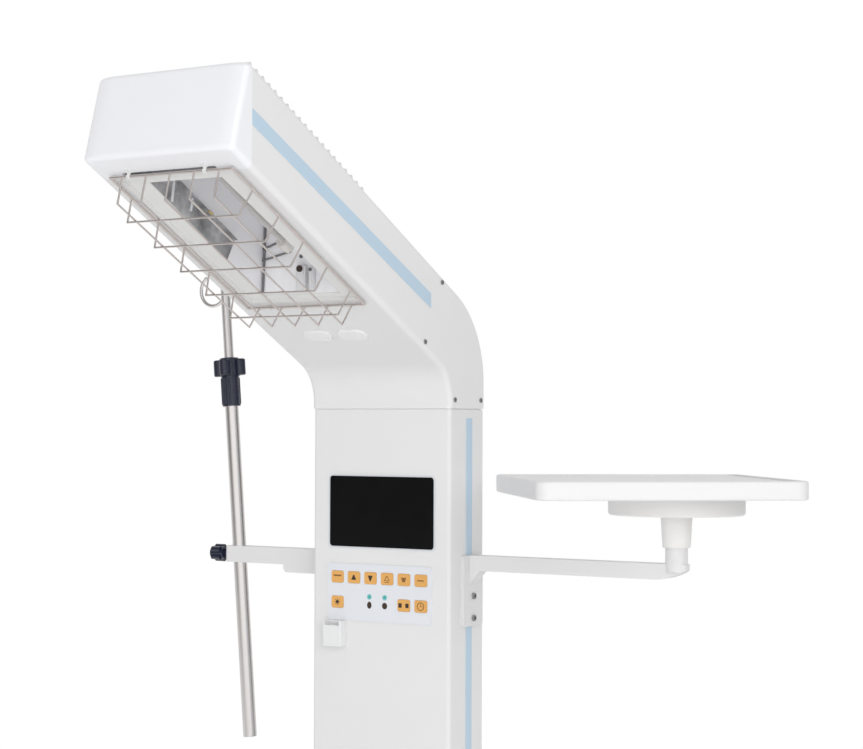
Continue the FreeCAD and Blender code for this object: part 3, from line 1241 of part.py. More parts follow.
def make_shelf_arm():
    """Square arm to the right with its flange and gusset, swept up at its tip under the post and spigot."""
    root = HALF_WIDTH + FLANGE_THICKNESS
    half = SHELF_ARM_SECTION / 2.0
    tip = SHELF_POST_X + SHELF_TIP
    low = ARM_TOP - SHELF_ARM_SECTION
    bar = box(root, tip, SHELF_Y - half, SHELF_Y + half, low, ARM_TOP)
    bar = bar.makeFillet(ARM_TIP_ROUNDING, [e for e in edges_along(bar, Z_AXIS)
                                            if e.Vertexes[0].X > root + 1.0])
    sweep = (SHELF_SWEEP_RUN ** 2 + SHELF_SWEEP_RISE ** 2) / (2.0 * SHELF_SWEEP_RISE)
    below = box(tip - SHELF_SWEEP_RUN, tip + 1.0, SHELF_Y - half - 1.0, SHELF_Y + half + 1.0,
                low - 1.0, ARM_TOP)
    round_off = disc(sweep, SHELF_ARM_SECTION + 4.0,
                     Vector(tip - SHELF_SWEEP_RUN, SHELF_Y - half - 2.0, low + sweep), Y_AXIS)
    below = below.cut(round_off)
    gusset = prism([
        (root, SHELF_Y - half, low),
        (root + SHELF_GUSSET_OUT, SHELF_Y - half, low),
        (root, SHELF_Y - half, low - SHELF_GUSSET_DOWN),
    ], Vector(0, SHELF_ARM_SECTION, 0))
    post_foot = ARM_TOP - half
    post = disc(SHELF_POST_DIAMETER / 2.0, SEAM_HEIGHT - SLEEVE_LOW_DROP - post_foot,
                Vector(SHELF_POST_X, SHELF_Y, post_foot))
    spigot = disc(SPIGOT_DIAMETER / 2.0, SEAM_HEIGHT - POST_TOP_DROP - post_foot,
                  Vector(SHELF_POST_X, SHELF_Y, post_foot))
    body = fuse([flange(1, SHELF_Y), bar, gusset, post, spigot])
    add("shelf_arm", body.cut(below))


def make_arm_screws():
    for drop in ARM_SCREW_DROPS:
        z = SEAM_HEIGHT - drop
        add("arm_screws", screw(Vector(HALF_WIDTH + FLANGE_THICKNESS, SHELF_Y, z), X_AXIS))
        add("arm_screws", screw(Vector(-HALF_WIDTH - FLANGE_THICKNESS, POLE_ARM_Y, z), -X_AXIS))


# Shelf


def make_shelf():
    """Hub that turns on the spigot, and the square tray on its disc."""
    centre = Vector(SHELF_POST_X, SHELF_Y, 0)
    low = SEAM_HEIGHT - SLEEVE_LOW_DROP
    neck = SEAM_HEIGHT - SLEEVE_TOP_DROP
    disc_top = neck + DISC_THICKNESS
    spigot_top = SEAM_HEIGHT - POST_TOP_DROP + SLIDE_GAP
    bore = SPIGOT_DIAMETER / 2.0 + POST_BORE_CLEARANCE
    edge = DISC_DIAMETER / 2.0
    hub = revolved([
        (bore, low),
        (SLEEVE_LOW_DIAMETER / 2.0, low),
        (SLEEVE_LOW_DIAMETER / 2.0 + 0.5, low + 4.0),
        (SLEEVE_TOP_DIAMETER / 2.0, neck),
        (edge - DISC_EDGE, neck),
        (edge, neck + DISC_EDGE),
        (edge, disc_top),
        (0, disc_top),
        (0, spigot_top),
        (bore, spigot_top),
    ], centre)
    add("shelf_hub", hub)
    top = SEAM_HEIGHT - TRAY_TOP_DROP
    x0, x1 = TRAY_OFFSET_X - TRAY_WIDTH / 2.0, TRAY_OFFSET_X + TRAY_WIDTH / 2.0
    y0, y1 = TRAY_OFFSET_Y - TRAY_DEPTH / 2.0, TRAY_OFFSET_Y + TRAY_DEPTH / 2.0
    tray = box(x0, x1, y0, y1, disc_top, top)
    tray = tray.makeFillet(TRAY_CORNER, edges_along(tray, Z_AXIS))
    rim = [e for e in tray.Edges
           if all(abs(v.Z - top) < 1e-6 or abs(v.Z - disc_top) < 1e-6 for v in e.Vertexes)
           and abs(e.Vertexes[0].Z - e.Vertexes[-1].Z) < 1e-6]
    tray = tray.makeFillet(TRAY_EDGE, rim)
    recess = box(x0 + TRAY_LIP, x1 - TRAY_LIP, y0 + TRAY_LIP, y1 - TRAY_LIP, top - TRAY_RECESS, top + 1.0)
    recess = recess.makeFillet(TRAY_CORNER - TRAY_LIP / 2.0, edges_along(recess, Z_AXIS))
    hollow = box(x0 + TRAY_WALL, x1 - TRAY_WALL, y0 + TRAY_WALL, y1 - TRAY_WALL, disc_top - 1.0,
                 top - TRAY_RECESS - TRAY_FLOOR)
    hollow = hollow.makeFillet(TRAY_CORNER - 4.0, edges_along(hollow, Z_AXIS))
    hollow = hollow.cut(disc(edge, top - disc_top, Vector(0, 0, disc_top - 1.0)))
    for width, depth in ((TRAY_WIDTH * 2, TRAY_RIB), (TRAY_RIB, TRAY_DEPTH * 2)):
        hollow = hollow.cut(box(-width / 2.0, width / 2.0, -depth / 2.0, depth / 2.0, disc_top, top))
    tray = tray.cut(recess).cut(hollow)
    place = Placement(centre, Rotation(Z_AXIS, TRAY_TURN))
    add("shelf_tray", moved(tray, place))


# Base


def tube_x(x0, x1, y0, y1, z0, z1, wall):
    return box(x0, x1, y0, y1, z0, z1).cut(
        box(x0 + wall, x1 - wall, y0 + wall, y1 - wall, z0 + wall, z1 - wall))


def make_base_frame():
    """Two long legs joined by a cross member that carries the column's foot plate."""
    leg_x = LEG_SPACING / 2.0
    pieces = []
    for side in (-1, 1):
        x = side * leg_x
        pieces.append(box(x - LEG_WIDTH / 2.0, x + LEG_WIDTH / 2.0, -LEG_FRONT + LEG_CAP, LEG_BACK - LEG_CAP,
                          CASTER_HEIGHT, LEG_TOP))
    inner = leg_x - LEG_WIDTH / 2.0
    pieces.append(box(-inner, inner, -CROSS_WIDTH / 2.0, CROSS_WIDTH / 2.0, CASTER_HEIGHT, LEG_TOP))
    pieces.append(box(-HALF_WIDTH - FOOT_MARGIN, HALF_WIDTH + FOOT_MARGIN, -CROSS_WIDTH / 2.0,
                      CROSS_WIDTH / 2.0, LEG_TOP, COLUMN_BOTTOM))
    frame = fuse(pieces)
    hollows = []
    for side in (-1, 1):
        x = side * leg_x
        hollows.append(box(x - LEG_WIDTH / 2.0 + LEG_WALL, x + LEG_WIDTH / 2.0 - LEG_WALL,
                           -LEG_FRONT + LEG_CAP - 1.0, LEG_BACK - LEG_CAP + 1.0,
                           CASTER_HEIGHT + LEG_WALL, LEG_TOP - LEG_WALL))
    hollows.append(box(-inner, inner, -CROSS_WIDTH / 2.0 + LEG_WALL, CROSS_WIDTH / 2.0 - LEG_WALL,
                       CASTER_HEIGHT + LEG_WALL, LEG_TOP - LEG_WALL))
    add("base_frame", frame.cut(Part.makeCompound(hollows)))


def make_leg_caps():
    """Rounded plastic ends with plugs inside the leg tubes."""
    for side in (-1, 1):
        x = side * LEG_SPACING / 2.0
        for end, direction in ((-LEG_FRONT + LEG_CAP, -1), (LEG_BACK - LEG_CAP, 1)):
            y0, y1 = sorted((end, end + direction * LEG_CAP))
            cap = box(x - LEG_WIDTH / 2.0, x + LEG_WIDTH / 2.0, y0, y1, CASTER_HEIGHT, LEG_TOP)
            outer = end + direction * LEG_CAP
            cap = cap.makeFillet(LEG_CAP * 0.7, [e for e in cap.Edges
                                                 if all(abs(v.Y - outer) < 1e-6 for v in e.Vertexes)])
            gap = LEG_WALL + SLIDE_GAP / 3.0
            p0, p1 = sorted((end, end - direction * LEG_CAP))
            plug = box(x - LEG_WIDTH / 2.0 + gap, x + LEG_WIDTH / 2.0 - gap, p0, p1, CASTER_HEIGHT + gap,
                       LEG_TOP - gap)
            add("leg_caps", fuse([cap, plug]))


def make_base_cover():
    """Sloping moulded cover round the column's foot, hollow below."""
    def block(inset, z0, z1):
        low_x = BASE_COVER_WIDTH / 2.0 - inset
        low_y = BASE_COVER_DEPTH / 2.0 - inset
        top_x = HALF_WIDTH + BASE_COVER_LEDGE - inset
        top_y = BACK + BASE_COVER_LEDGE - inset
        low = Part.makePolygon([Vector(-low_x, -low_y, z0), Vector(low_x, -low_y, z0),
                                Vector(low_x, low_y, z0), Vector(-low_x, low_y, z0),
                                Vector(-low_x, -low_y, z0)])
        high = Part.makePolygon([Vector(-top_x, -top_y, z1), Vector(top_x, -top_y, z1),
                                 Vector(top_x, top_y, z1), Vector(-top_x, top_y, z1),
                                 Vector(-top_x, -top_y, z1)])
        return Part.makeLoft([low, high], True, True)
    top = LEG_TOP + BASE_COVER_HEIGHT
    outer = block(0.0, LEG_TOP, top)
    corners = [e for e in outer.Edges if abs(e.Vertexes[0].Z - e.Vertexes[-1].Z) > 1.0]
    outer = outer.makeFillet(BASE_COVER_ROUNDING, corners)
    upper = [e for e in outer.Edges if all(abs(v.Z - top) < 1e-6 for v in e.Vertexes)]
    outer = outer.makeFillet(3.0, upper)
    inner = block(3.0, LEG_TOP - 1.0, top - 3.0)
    gap = SLIDE_GAP
    column = box(-HALF_WIDTH - gap, HALF_WIDTH + gap, FRONT - gap, BACK + gap, LEG_TOP - 2.0, top + 1.0)
    add("base_cover", outer.cut(inner).cut(column))


def caster_places():
    x = LEG_SPACING / 2.0
    front = -LEG_FRONT + CASTER_INSET
    rear = LEG_BACK - CASTER_INSET
    return (("front_left", -x, front), ("front_right", x, front), ("rear_left", -x, rear),
            ("rear_right", x, rear))


def make_caster_mount(x, y):
    """Plate under the leg with the swivel pin and its nut."""
    plate = box(x - CASTER_PLATE / 2.0, x + CASTER_PLATE / 2.0, y - CASTER_PLATE / 2.0,
                y + CASTER_PLATE / 2.0, CASTER_HEIGHT - CASTER_PLATE_THICKNESS, CASTER_HEIGHT)
    plate = plate.makeFillet(6.0, edges_along(plate, Z_AXIS))
    crown_low = crown_top() - CROWN_HEIGHT - CHEEK_THICKNESS
    pin = disc(STEM_DIAMETER / 2.0, crown_top() - crown_low + 7.0, Vector(x, y, crown_low - 6.0))
    nut = disc(STEM_DIAMETER / 2.0 + 3.0, 5.5, Vector(x, y, crown_low - 6.0))
    add("caster_mounts", fuse([plate, pin, nut]))


def crown_top():
    return CASTER_HEIGHT - CASTER_PLATE_THICKNESS


def make_fork(name, x, y, braked):
    """Swivelling fork: bearing cup, crown plate, two cheeks and the axle."""
    top = crown_top() - CROWN_HEIGHT
    axle_z = WHEEL_DIAMETER / 2.0
    half_gap = WHEEL_WIDTH / 2.0 + CHEEK_GAP
    outer = half_gap + CHEEK_THICKNESS
    back = PEDAL_PIVOT_Y + 8.0
    cup = disc(CUP_DIAMETER / 2.0, CROWN_HEIGHT, Vector(x, y, top))
    plate = box(x - outer, x + outer, y - 20.0, y + back, top - CHEEK_THICKNESS, top)
    pieces = [cup, plate]
    for side in (-1, 1):
        x0 = x + side * outer if side < 0 else x + half_gap
        a = CASTER_TRAIL
        points = [
            (x0, y - 20.0, top),
            (x0, y + back, top),
            (x0, y + back, top - 18.0),
            (x0, y + a + 12.0, axle_z),
            (x0, y + a + 8.0, axle_z - 9.0),
            (x0, y + a - 8.0, axle_z - 9.0),
            (x0, y + a - 12.0, axle_z),
            (x0, y - 20.0, top - 14.0),
        ]
        pieces.append(prism(points, Vector(CHEEK_THICKNESS, 0, 0)))
        collar_x = x + side * half_gap
        pieces.append(disc(AXLE_DIAMETER / 2.0 + 3.0, half_gap - WHEEL_WIDTH / 2.0 + 1.0 - 0.1,
                           Vector(collar_x, y + a, axle_z), Vector(-side, 0, 0)))
        pieces.append(disc(AXLE_DIAMETER / 2.0 + 2.0, 2.0, Vector(x + side * outer, y + a, axle_z),
                           Vector(side, 0, 0)))
    axle = disc(AXLE_DIAMETER / 2.0, 2 * outer, Vector(x - outer, y + CASTER_TRAIL, axle_z), X_AXIS)
    fork = fuse(pieces + [axle])
    fork = fork.cut(disc(STEM_DIAMETER / 2.0 + RUNNING_CLEARANCE, CROWN_HEIGHT + 4 * CHEEK_THICKNESS,
                         Vector(x, y, top - 2 * CHEEK_THICKNESS)))
    if braked:
        pin = disc(PEDAL_PIN / 2.0 + RUNNING_CLEARANCE, 2 * outer + 2.0,
                   Vector(x - outer - 1.0, y + PEDAL_PIVOT_Y, pedal_z()), X_AXIS)
        fork = fork.cut(pin)
    add("fork_" + name, fork)


def pedal_z():
    return crown_top() - CROWN_HEIGHT - CHEEK_THICKNESS - 6.5


def make_wheel(name, x, y):
    """Wheel with its hub and rounded tyre."""
    bore = AXLE_DIAMETER / 2.0 + RUNNING_CLEARANCE
    radius = WHEEL_DIAMETER / 2.0
    half = WHEEL_WIDTH / 2.0
    hub = half - 1.0
    rim = radius - WHEEL_TREAD
    section = [
        (bore, -hub), (bore + 9.0, -hub), (bore + 11.0, -hub + 5.0), (rim - 2.0, -hub + 5.0),
        (rim, -half), (radius - 3.0, -half), (radius, -half + 5.0), (radius, half - 5.0),
        (radius - 3.0, half), (rim, half), (rim - 2.0, hub - 5.0), (bore + 11.0, hub - 5.0),
        (bore + 9.0, hub), (bore, hub),
    ]
    centre = Vector(x, y + CASTER_TRAIL, WHEEL_DIAMETER / 2.0)
    add("wheel_" + name, revolved(section, centre, X_AXIS))


def make_brake_pedal(name, x, y):
    """Pedal on a cross pin, with a nose that comes down on the tyre."""
    y0 = y + PEDAL_PIVOT_Y
    z0 = pedal_z()
    inner = WHEEL_WIDTH / 2.0 + CHEEK_GAP - SLIDE_GAP
    outer = WHEEL_WIDTH / 2.0 + CHEEK_GAP + CHEEK_THICKNESS
    boss = disc(PEDAL_PIN / 2.0 + 3.0, 2 * inner, Vector(x - inner, y0, z0), X_AXIS)
    pin = disc(PEDAL_PIN / 2.0, 2 * outer, Vector(x - outer, y0, z0), X_AXIS)
    nose = box(x - inner, x + inner, y0 - 1.0, y0 + 5.0, z0 - 8.4, z0)
    lever = box(x - inner, x + inner, y0, y0 + PEDAL_LENGTH, z0 - 2.5, z0 + 2.5)
    tread = box(x - PEDAL_WIDTH / 2.0, x + PEDAL_WIDTH / 2.0, y0 + 12.0, y0 + PEDAL_LENGTH + 8.0,
                z0 - 2.5, z0 + 3.5)
    tread = tread.makeFillet(2.0, edges_along(tread, X_AXIS) + edges_along(tread, Z_AXIS))
    add("pedal_" + name, fuse([boss, pin, nose, lever, tread]))


def make_casters():
    for name, x, y in caster_places():
        braked = name.startswith("front")
        make_caster_mount(x, y)
        make_fork(name, x, y, braked)
        make_wheel(name, x, y)
        if braked:
            make_brake_pedal(name, x, y)

for build in (make_hood_shell, make_oval_lamps, make_front_cap, make_vent_grille, make_head_stripes,
              make_hood_screws, make_heater_frame, make_reflector, make_side_mirrors, make_elements, make_guard,
              make_guard_clips, make_column_shell, make_seam_spacer, make_rear_cover, make_mains_inlet,
              make_mains_rocker, make_push_handle, make_column_stripes, make_display, make_keypad,
              make_control_board, make_sensor_clip, make_pole_arm, make_clamp_knob, make_pole_tube,
              make_pole_collar, make_pole_rod, make_shelf_arm, make_arm_screws, make_shelf,
              make_base_frame, make_leg_caps, make_base_cover, make_casters):
    build()


def export_nodes():
    os.makedirs("parts", exist_ok=True)
    for name, solids in nodes.items():
        shape = solids[0] if len(solids) == 1 else Part.makeCompound(solids)
        shape.exportStep("parts/%s.step" % name)
        print(name, len(shape.Solids), "valid" if shape.isValid() else "NOT VALID", round(shape.Volume, 1))


export_nodes()
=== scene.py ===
import bpy
import bmesh
import json
import math
from mathutils import Vector, Matrix


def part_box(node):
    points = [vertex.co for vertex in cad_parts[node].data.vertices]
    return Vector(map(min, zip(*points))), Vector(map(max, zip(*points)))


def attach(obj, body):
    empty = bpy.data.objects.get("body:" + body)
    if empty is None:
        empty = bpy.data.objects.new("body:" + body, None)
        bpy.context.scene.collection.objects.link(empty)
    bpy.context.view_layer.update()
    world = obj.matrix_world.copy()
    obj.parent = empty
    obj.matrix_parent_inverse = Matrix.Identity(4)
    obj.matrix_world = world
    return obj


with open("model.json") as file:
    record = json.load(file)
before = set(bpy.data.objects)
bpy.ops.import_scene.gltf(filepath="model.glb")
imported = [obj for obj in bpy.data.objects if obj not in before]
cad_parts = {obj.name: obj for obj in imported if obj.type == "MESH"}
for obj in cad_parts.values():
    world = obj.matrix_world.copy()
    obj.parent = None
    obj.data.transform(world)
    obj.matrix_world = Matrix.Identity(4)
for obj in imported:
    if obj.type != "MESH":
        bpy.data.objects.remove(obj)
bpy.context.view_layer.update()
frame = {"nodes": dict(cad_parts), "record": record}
scene = bpy.context.scene
scene.view_settings.view_transform = "Standard"


# Camera at the photograph's viewing angle

right = Vector((0.8490, 0.5284, 0.0033))
forward = Vector((-0.5283, 0.8487, 0.0242)).normalized()
right = (right - forward * right.dot(forward)).normalized()
up = right.cross(forward)
cam_data = bpy.data.cameras.new("camera")
cam_data.sensor_width = 36.0
cam_data.lens = 83.43
cam_data.clip_end = 100.0
cam = bpy.data.objects.new("camera", cam_data)
turn = Matrix((right, up, -forward)).transposed()
cam.matrix_world = Matrix.Translation((1.6178, -2.5035, 1.4591)) @ turn.to_4x4()
scene.collection.objects.link(cam)
scene.camera = cam


# Materials: a small toolbox of procedural finishes


class Nodes:
    """Short names for building one material's node tree."""

    def __init__(self, name):
        self.mat = bpy.data.materials.new(name)
        self.mat.use_nodes = True
        self.tree = self.mat.node_tree
        self.bsdf = self.tree.nodes["Principled BSDF"]
        self.coord = self.tree.nodes.new("ShaderNodeTexCoord")

    def new(self, kind, **values):
        node = self.tree.nodes.new(kind)
        for key, value in values.items():
            if key.startswith("in_"):
                node.inputs[key[3:].replace("_", " ")].default_value = value
            else:
                setattr(node, key, value)
        return node

    def link(self, a, b):
        self.tree.links.new(a, b)

    def noise(self, scale, detail=3.0, rough=0.5, stretch=None):
        node = self.new("ShaderNodeTexNoise", in_Scale=scale, in_Detail=detail, in_Roughness=rough)
        source = self.coord.outputs["Object"]
        if stretch:
            mapping = self.new("ShaderNodeMapping")
            mapping.inputs["Scale"].default_value = stretch
            self.link(source, mapping.inputs["Vector"])
            source = mapping.outputs["Vector"]
        self.link(source, node.inputs["Vector"])
        return node.outputs["Fac"]

    def ramp(self, fac, stops):
        node = self.new("ShaderNodeValToRGB")
        node.color_ramp.elements[0].position = stops[0][0]
        node.color_ramp.elements[0].color = (*stops[0][1], 1.0)
        node.color_ramp.elements[1].position = stops[-1][0]
        node.color_ramp.elements[1].color = (*stops[-1][1], 1.0)
        for position, color in stops[1:-1]:
            element = node.color_ramp.elements.new(position)
            element.color = (*color, 1.0)
        self.link(fac, node.inputs["Fac"])
        return node.outputs["Color"]

    def range(self, fac, low, high):
        node = self.new("ShaderNodeMapRange")
        node.inputs["To Min"].default_value = low
        node.inputs["To Max"].default_value = high
        self.link(fac, node.inputs["Value"])
        return node.outputs["Result"]

    def bump(self, height, strength, distance=0.001, under=None):
        node = self.new("ShaderNodeBump")
        node.inputs["Strength"].default_value = strength
        node.inputs["Distance"].default_value = distance
        self.link(height, node.inputs["Height"])
        if under is not None:
            self.link(under, node.inputs["Normal"])
        return node.outputs["Normal"]


def shade(color, factor):
    return tuple(min(1.0, c * factor) for c in color)


def paint(name, color, rough=0.35, vary=0.035, peel=0.05, coat=0.0):
    """Powder coat or moulded plastic: faint cloudy tone, orange peel and uneven gloss."""
    n = Nodes(name)
    cloud = n.noise(3.2, 4.0)
    low = shade(color, 1.0 - vary)
    n.link(n.ramp(cloud, [(0.3, low), (0.7, color)]), n.bsdf.inputs["Base Color"])
    n.link(n.range(n.noise(26.0, 5.0), rough - 0.05, rough + 0.07), n.bsdf.inputs["Roughness"])
    fine = n.bump(n.noise(900.0, 2.0), peel, 0.0003)
    n.link(n.bump(n.noise(160.0, 2.0), peel * 0.8, 0.0006, fine), n.bsdf.inputs["Normal"])
    if coat:
        n.bsdf.inputs["Coat Weight"].default_value = coat
        n.bsdf.inputs["Coat Roughness"].default_value = 0.12
    return n.mat


def metal(name, color, rough, grain, strength=0.06, vary=0.08):
    """Bare or plated metal with fine drawing lines along one direction."""
    n = Nodes(name)
    n.bsdf.inputs["Metallic"].default_value = 1.0
    lines = n.noise(18.0, 6.0, 0.65, grain)
    n.link(n.ramp(lines, [(0.25, shade(color, 1.0 - vary)), (0.75, color)]), n.bsdf.inputs["Base Color"])
    n.link(n.range(lines, rough - 0.06, rough + 0.1), n.bsdf.inputs["Roughness"])
    n.link(n.bump(lines, strength, 0.0003), n.bsdf.inputs["Normal"])
    return n.mat


def rubber(name, color, rough=0.7):
    """Dull tyre rubber with fine dust."""
    n = Nodes(name)
    dust = n.noise(60.0, 5.0, 0.6)
    n.link(n.ramp(dust, [(0.35, color), (0.75, shade(color, 1.35))]), n.bsdf.inputs["Base Color"])
    n.link(n.range(dust, rough - 0.08, rough + 0.1), n.bsdf.inputs["Roughness"])
    n.link(n.bump(n.noise(700.0, 3.0), 0.12, 0.0004), n.bsdf.inputs["Normal"])
    return n.mat


def satin_sheet(name, color):
    """Bright rolled sheet behind the heater: pale, with soft lengthwise streaks."""
    n = Nodes(name)
    streak = n.noise(7.0, 5.0, 0.6, (14.0, 1.0, 1.0))
    n.link(n.ramp(streak, [(0.3, shade(color, 0.95)), (0.7, color)]), n.bsdf.inputs["Base Color"])
    n.link(n.range(streak, 0.34, 0.50), n.bsdf.inputs["Roughness"])
    n.link(n.bump(n.noise(30.0, 3.0), 0.10, 0.002), n.bsdf.inputs["Normal"])
    return n.mat


def painted_reflection_mirror(name):
    """Side mirror of the heater: dark satin metal with a painted reflection, a mottle of dark and pale
    tones that stands in for what the mirror reflects.
    """
    n = Nodes(name)
    spots = n.noise(26.0, 4.0, 0.6)
    # painted reflection: dark and pale tones in the base colour stand in for the mirror's reflections
    stops = [(0.30, (0.190, 0.190, 0.198)), (0.50, (0.430, 0.430, 0.440)), (0.72, (0.800, 0.800, 0.810))]
    n.link(n.ramp(spots, stops), n.bsdf.inputs["Base Color"])
    n.bsdf.inputs["Metallic"].default_value = 0.55
    n.link(n.range(spots, 0.30, 0.46), n.bsdf.inputs["Roughness"])
    n.link(n.bump(spots, 0.08, 0.001), n.bsdf.inputs["Normal"])
    return n.mat


MATS = {
    "hood_white": paint("hood_paint", (0.785, 0.782, 0.785), 0.38),
    "column_white": paint("column_paint", (0.772, 0.771, 0.772), 0.40),
    "cap_white": paint("cap_plastic", (0.870, 0.874, 0.900), 0.30, coat=0.25),
    "frame_white": paint("frame_paint", (0.800, 0.800, 0.790), 0.42),
    "arm_white": paint("arm_paint", (0.755, 0.750, 0.753), 0.36),
    "hub_white": paint("hub_paint", (0.828, 0.820, 0.812), 0.34),
    "tray_white": paint("tray_plastic", (0.805, 0.800, 0.808), 0.33, coat=0.2),
    "base_white": paint("base_paint", (0.780, 0.780, 0.785), 0.40, peel=0.08),
    "stripe_blue": paint("stripe_film", (0.500, 0.640, 0.765), 0.32, vary=0.06, peel=0.02),
    "bezel_grey": paint("bezel_plastic", (0.640, 0.660, 0.690), 0.40, peel=0.03),
    "overlay_film": paint("overlay_polyester", (0.745, 0.765, 0.805), 0.36, vary=0.02, peel=0.10),
    "key_orange": paint("key_plastic", (0.790, 0.415, 0.115), 0.42, vary=0.10, peel=0.06),
    "clip_plastic": paint("clip_plastic", (0.800, 0.805, 0.810), 0.30, coat=0.2),
    "dark_plastic": paint("dark_plastic", (0.035, 0.036, 0.040), 0.45, vary=0.25, peel=0.12),
    "black_plastic": paint("collar_plastic", (0.013, 0.018, 0.042), 0.25, vary=0.25, peel=0.08, coat=0.5),
    "lens_frosted": paint("lens_plastic", (0.840, 0.840, 0.845), 0.28, coat=0.4),
    "board_green": paint("board_mask", (0.020, 0.120, 0.050), 0.35, vary=0.2),
    "led_teal": paint("led_lens", (0.060, 0.420, 0.400), 0.20, vary=0.1, coat=0.5),
    "ceramic_socket": paint("socket_ceramic", (0.780, 0.760, 0.720), 0.55, peel=0.12),
    "element_tube": paint("element_sheath", (0.620, 0.610, 0.590), 0.50, vary=0.12, peel=0.10),
    "pedal_grey": paint("pedal_plastic", (0.180, 0.190, 0.210), 0.45, vary=0.15, peel=0.15),
    "steel_tube": metal("tube_steel", (0.930, 0.895, 0.880), 0.22, (60.0, 60.0, 1.0), vary=0.05),
    "guard_wire": metal("guard_wire", (0.780, 0.720, 0.690), 0.32, (8.0, 8.0, 8.0), 0.04),
    "screw_steel": metal("screw_steel", (0.420, 0.420, 0.430), 0.35, (20.0, 20.0, 20.0)),
    "caster_steel": metal("caster_steel", (0.620, 0.625, 0.630), 0.34, (6.0, 6.0, 30.0), 0.1, 0.14),
    "reflector_sheet": satin_sheet("reflector_sheet", (0.930, 0.925, 0.950)),
    # the left mirror's dark and pale mottle is a painted reflection
    "mirror_strip": painted_reflection_mirror("mirror_strip"),
    "wheel_grey": rubber("wheel_rubber", (0.120, 0.125, 0.130)),
}


def display_material():
    """Dark glossy window of one almost black tone."""
    n = Nodes("display_window")
    cloud = n.noise(5.0, 2.0)
    n.link(n.ramp(cloud, [(0.3, (0.0035, 0.0035, 0.004)), (0.7, (0.005, 0.005, 0.0055))]),
           n.bsdf.inputs["Base Color"])
    n.link(n.range(n.noise(40.0, 4.0), 0.16, 0.26), n.bsdf.inputs["Roughness"])
    n.link(n.bump(n.noise(1200.0, 2.0), 0.03, 0.0002), n.bsdf.inputs["Normal"])
    n.bsdf.inputs["Specular IOR Level"].default_value = 0.20
    return n.mat


MATS["display_black"] = display_material()
OWN = {
    "pole_rod": metal("rod_steel", (0.960, 0.930, 0.915), 0.34, (60.0, 60.0, 1.0), 0.05, 0.04),
    "push_handle": metal("handle_steel", (0.780, 0.780, 0.785), 0.26, (1.0, 60.0, 60.0), 0.05, 0.05),
}

slots = {part["node"]: part["material_slot"] for part in frame["record"]["subparts"]}
for node_name, ob in frame["nodes"].items():
    material = OWN.get(node_name, MATS[slots[node_name]])
    if ob.data.materials:
        for index in range(len(ob.data.materials)):
            ob.data.materials[index] = material
    else:
        ob.data.materials.append(material)


# Small pieces: marks on the keys and the panel, and fittings inside the heater

INK = paint("ink_dark", (0.050, 0.030, 0.020), 0.55, vary=0.2, peel=0.02)
INK_BROWN = paint("ink_brown", (0.270, 0.120, 0.035), 0.50, vary=0.15, peel=0.02)
INK_TEAL = paint("ink_teal", (0.200, 0.560, 0.580), 0.45, vary=0.08, peel=0.02)
DARK_METAL = metal("fitting_steel", (0.260, 0.255, 0.260), 0.40, (20.0, 20.0, 20.0))
PALE_PART = paint("fitting_ceramic", (0.760, 0.760, 0.775), 0.45, vary=0.06, peel=0.10)
BRASS = metal("tag_brass", (0.780, 0.620, 0.300), 0.35, (20.0, 20.0, 20.0))
INK_DEPTH = 0.00012


def piece(name, bm, material, body="stand"):
    """Turn a finished bmesh into a flat-shaded object that rides on a body."""
    bmesh.ops.recalc_face_normals(bm, faces=bm.faces)
    mesh = bpy.data.meshes.new(name)
    bm.to_mesh(mesh)
    bm.free()
    mesh.materials.append(material)
    ob = bpy.data.objects.new(name, mesh)
    scene.collection.objects.link(ob)
    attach(ob, body)


def ngon(count, rx, rz):
    """Outline of an ellipse, in millimetres about its centre."""
    angles = [2.0 * math.pi * i / count for i in range(count)]
    return [(rx * math.cos(a), rz * math.sin(a)) for a in angles]


def rect(width, height, cx=0.0, cz=0.0):
    """Outline of an upright rectangle, in millimetres."""
    x, z = width / 2.0, height / 2.0
    return [(cx - x, cz - z), (cx + x, cz - z), (cx + x, cz + z), (cx - x, cz + z)]


def slab(bm, outline, origin, depth=INK_DEPTH):
    """Raise an outline, given in millimetres, out of a front face at origin."""
    x, y, z = origin
    back = [bm.verts.new((x + u * 0.001, y + 0.00002, z + v * 0.001)) for u, v in outline]
    front = [bm.verts.new((x + u * 0.001, y - depth, z + v * 0.001)) for u, v in outline]
    bm.faces.new(front)
    for i in range(len(outline)):
        j = (i + 1) % len(outline)
        bm.faces.new((back[i], back[j], front[j], front[i]))


def ring(bm, outer, inner, origin, depth=INK_DEPTH):
    """Raise the band between two outlines out of a front face at origin."""
    x, y, z = origin
    loops = []
    for outline in (outer, inner):
        for level in (y + 0.00002, y - depth):
            loops.append([bm.verts.new((x + u * 0.001, level, z + v * 0.001)) for u, v in outline])
    count = len(outer)
    for a, b in ((loops[0], loops[1]), (loops[1], loops[3]), (loops[3], loops[2])):
        for i in range(count):
            j = (i + 1) % count
            bm.faces.new((a[i], a[j], b[j], b[i]))


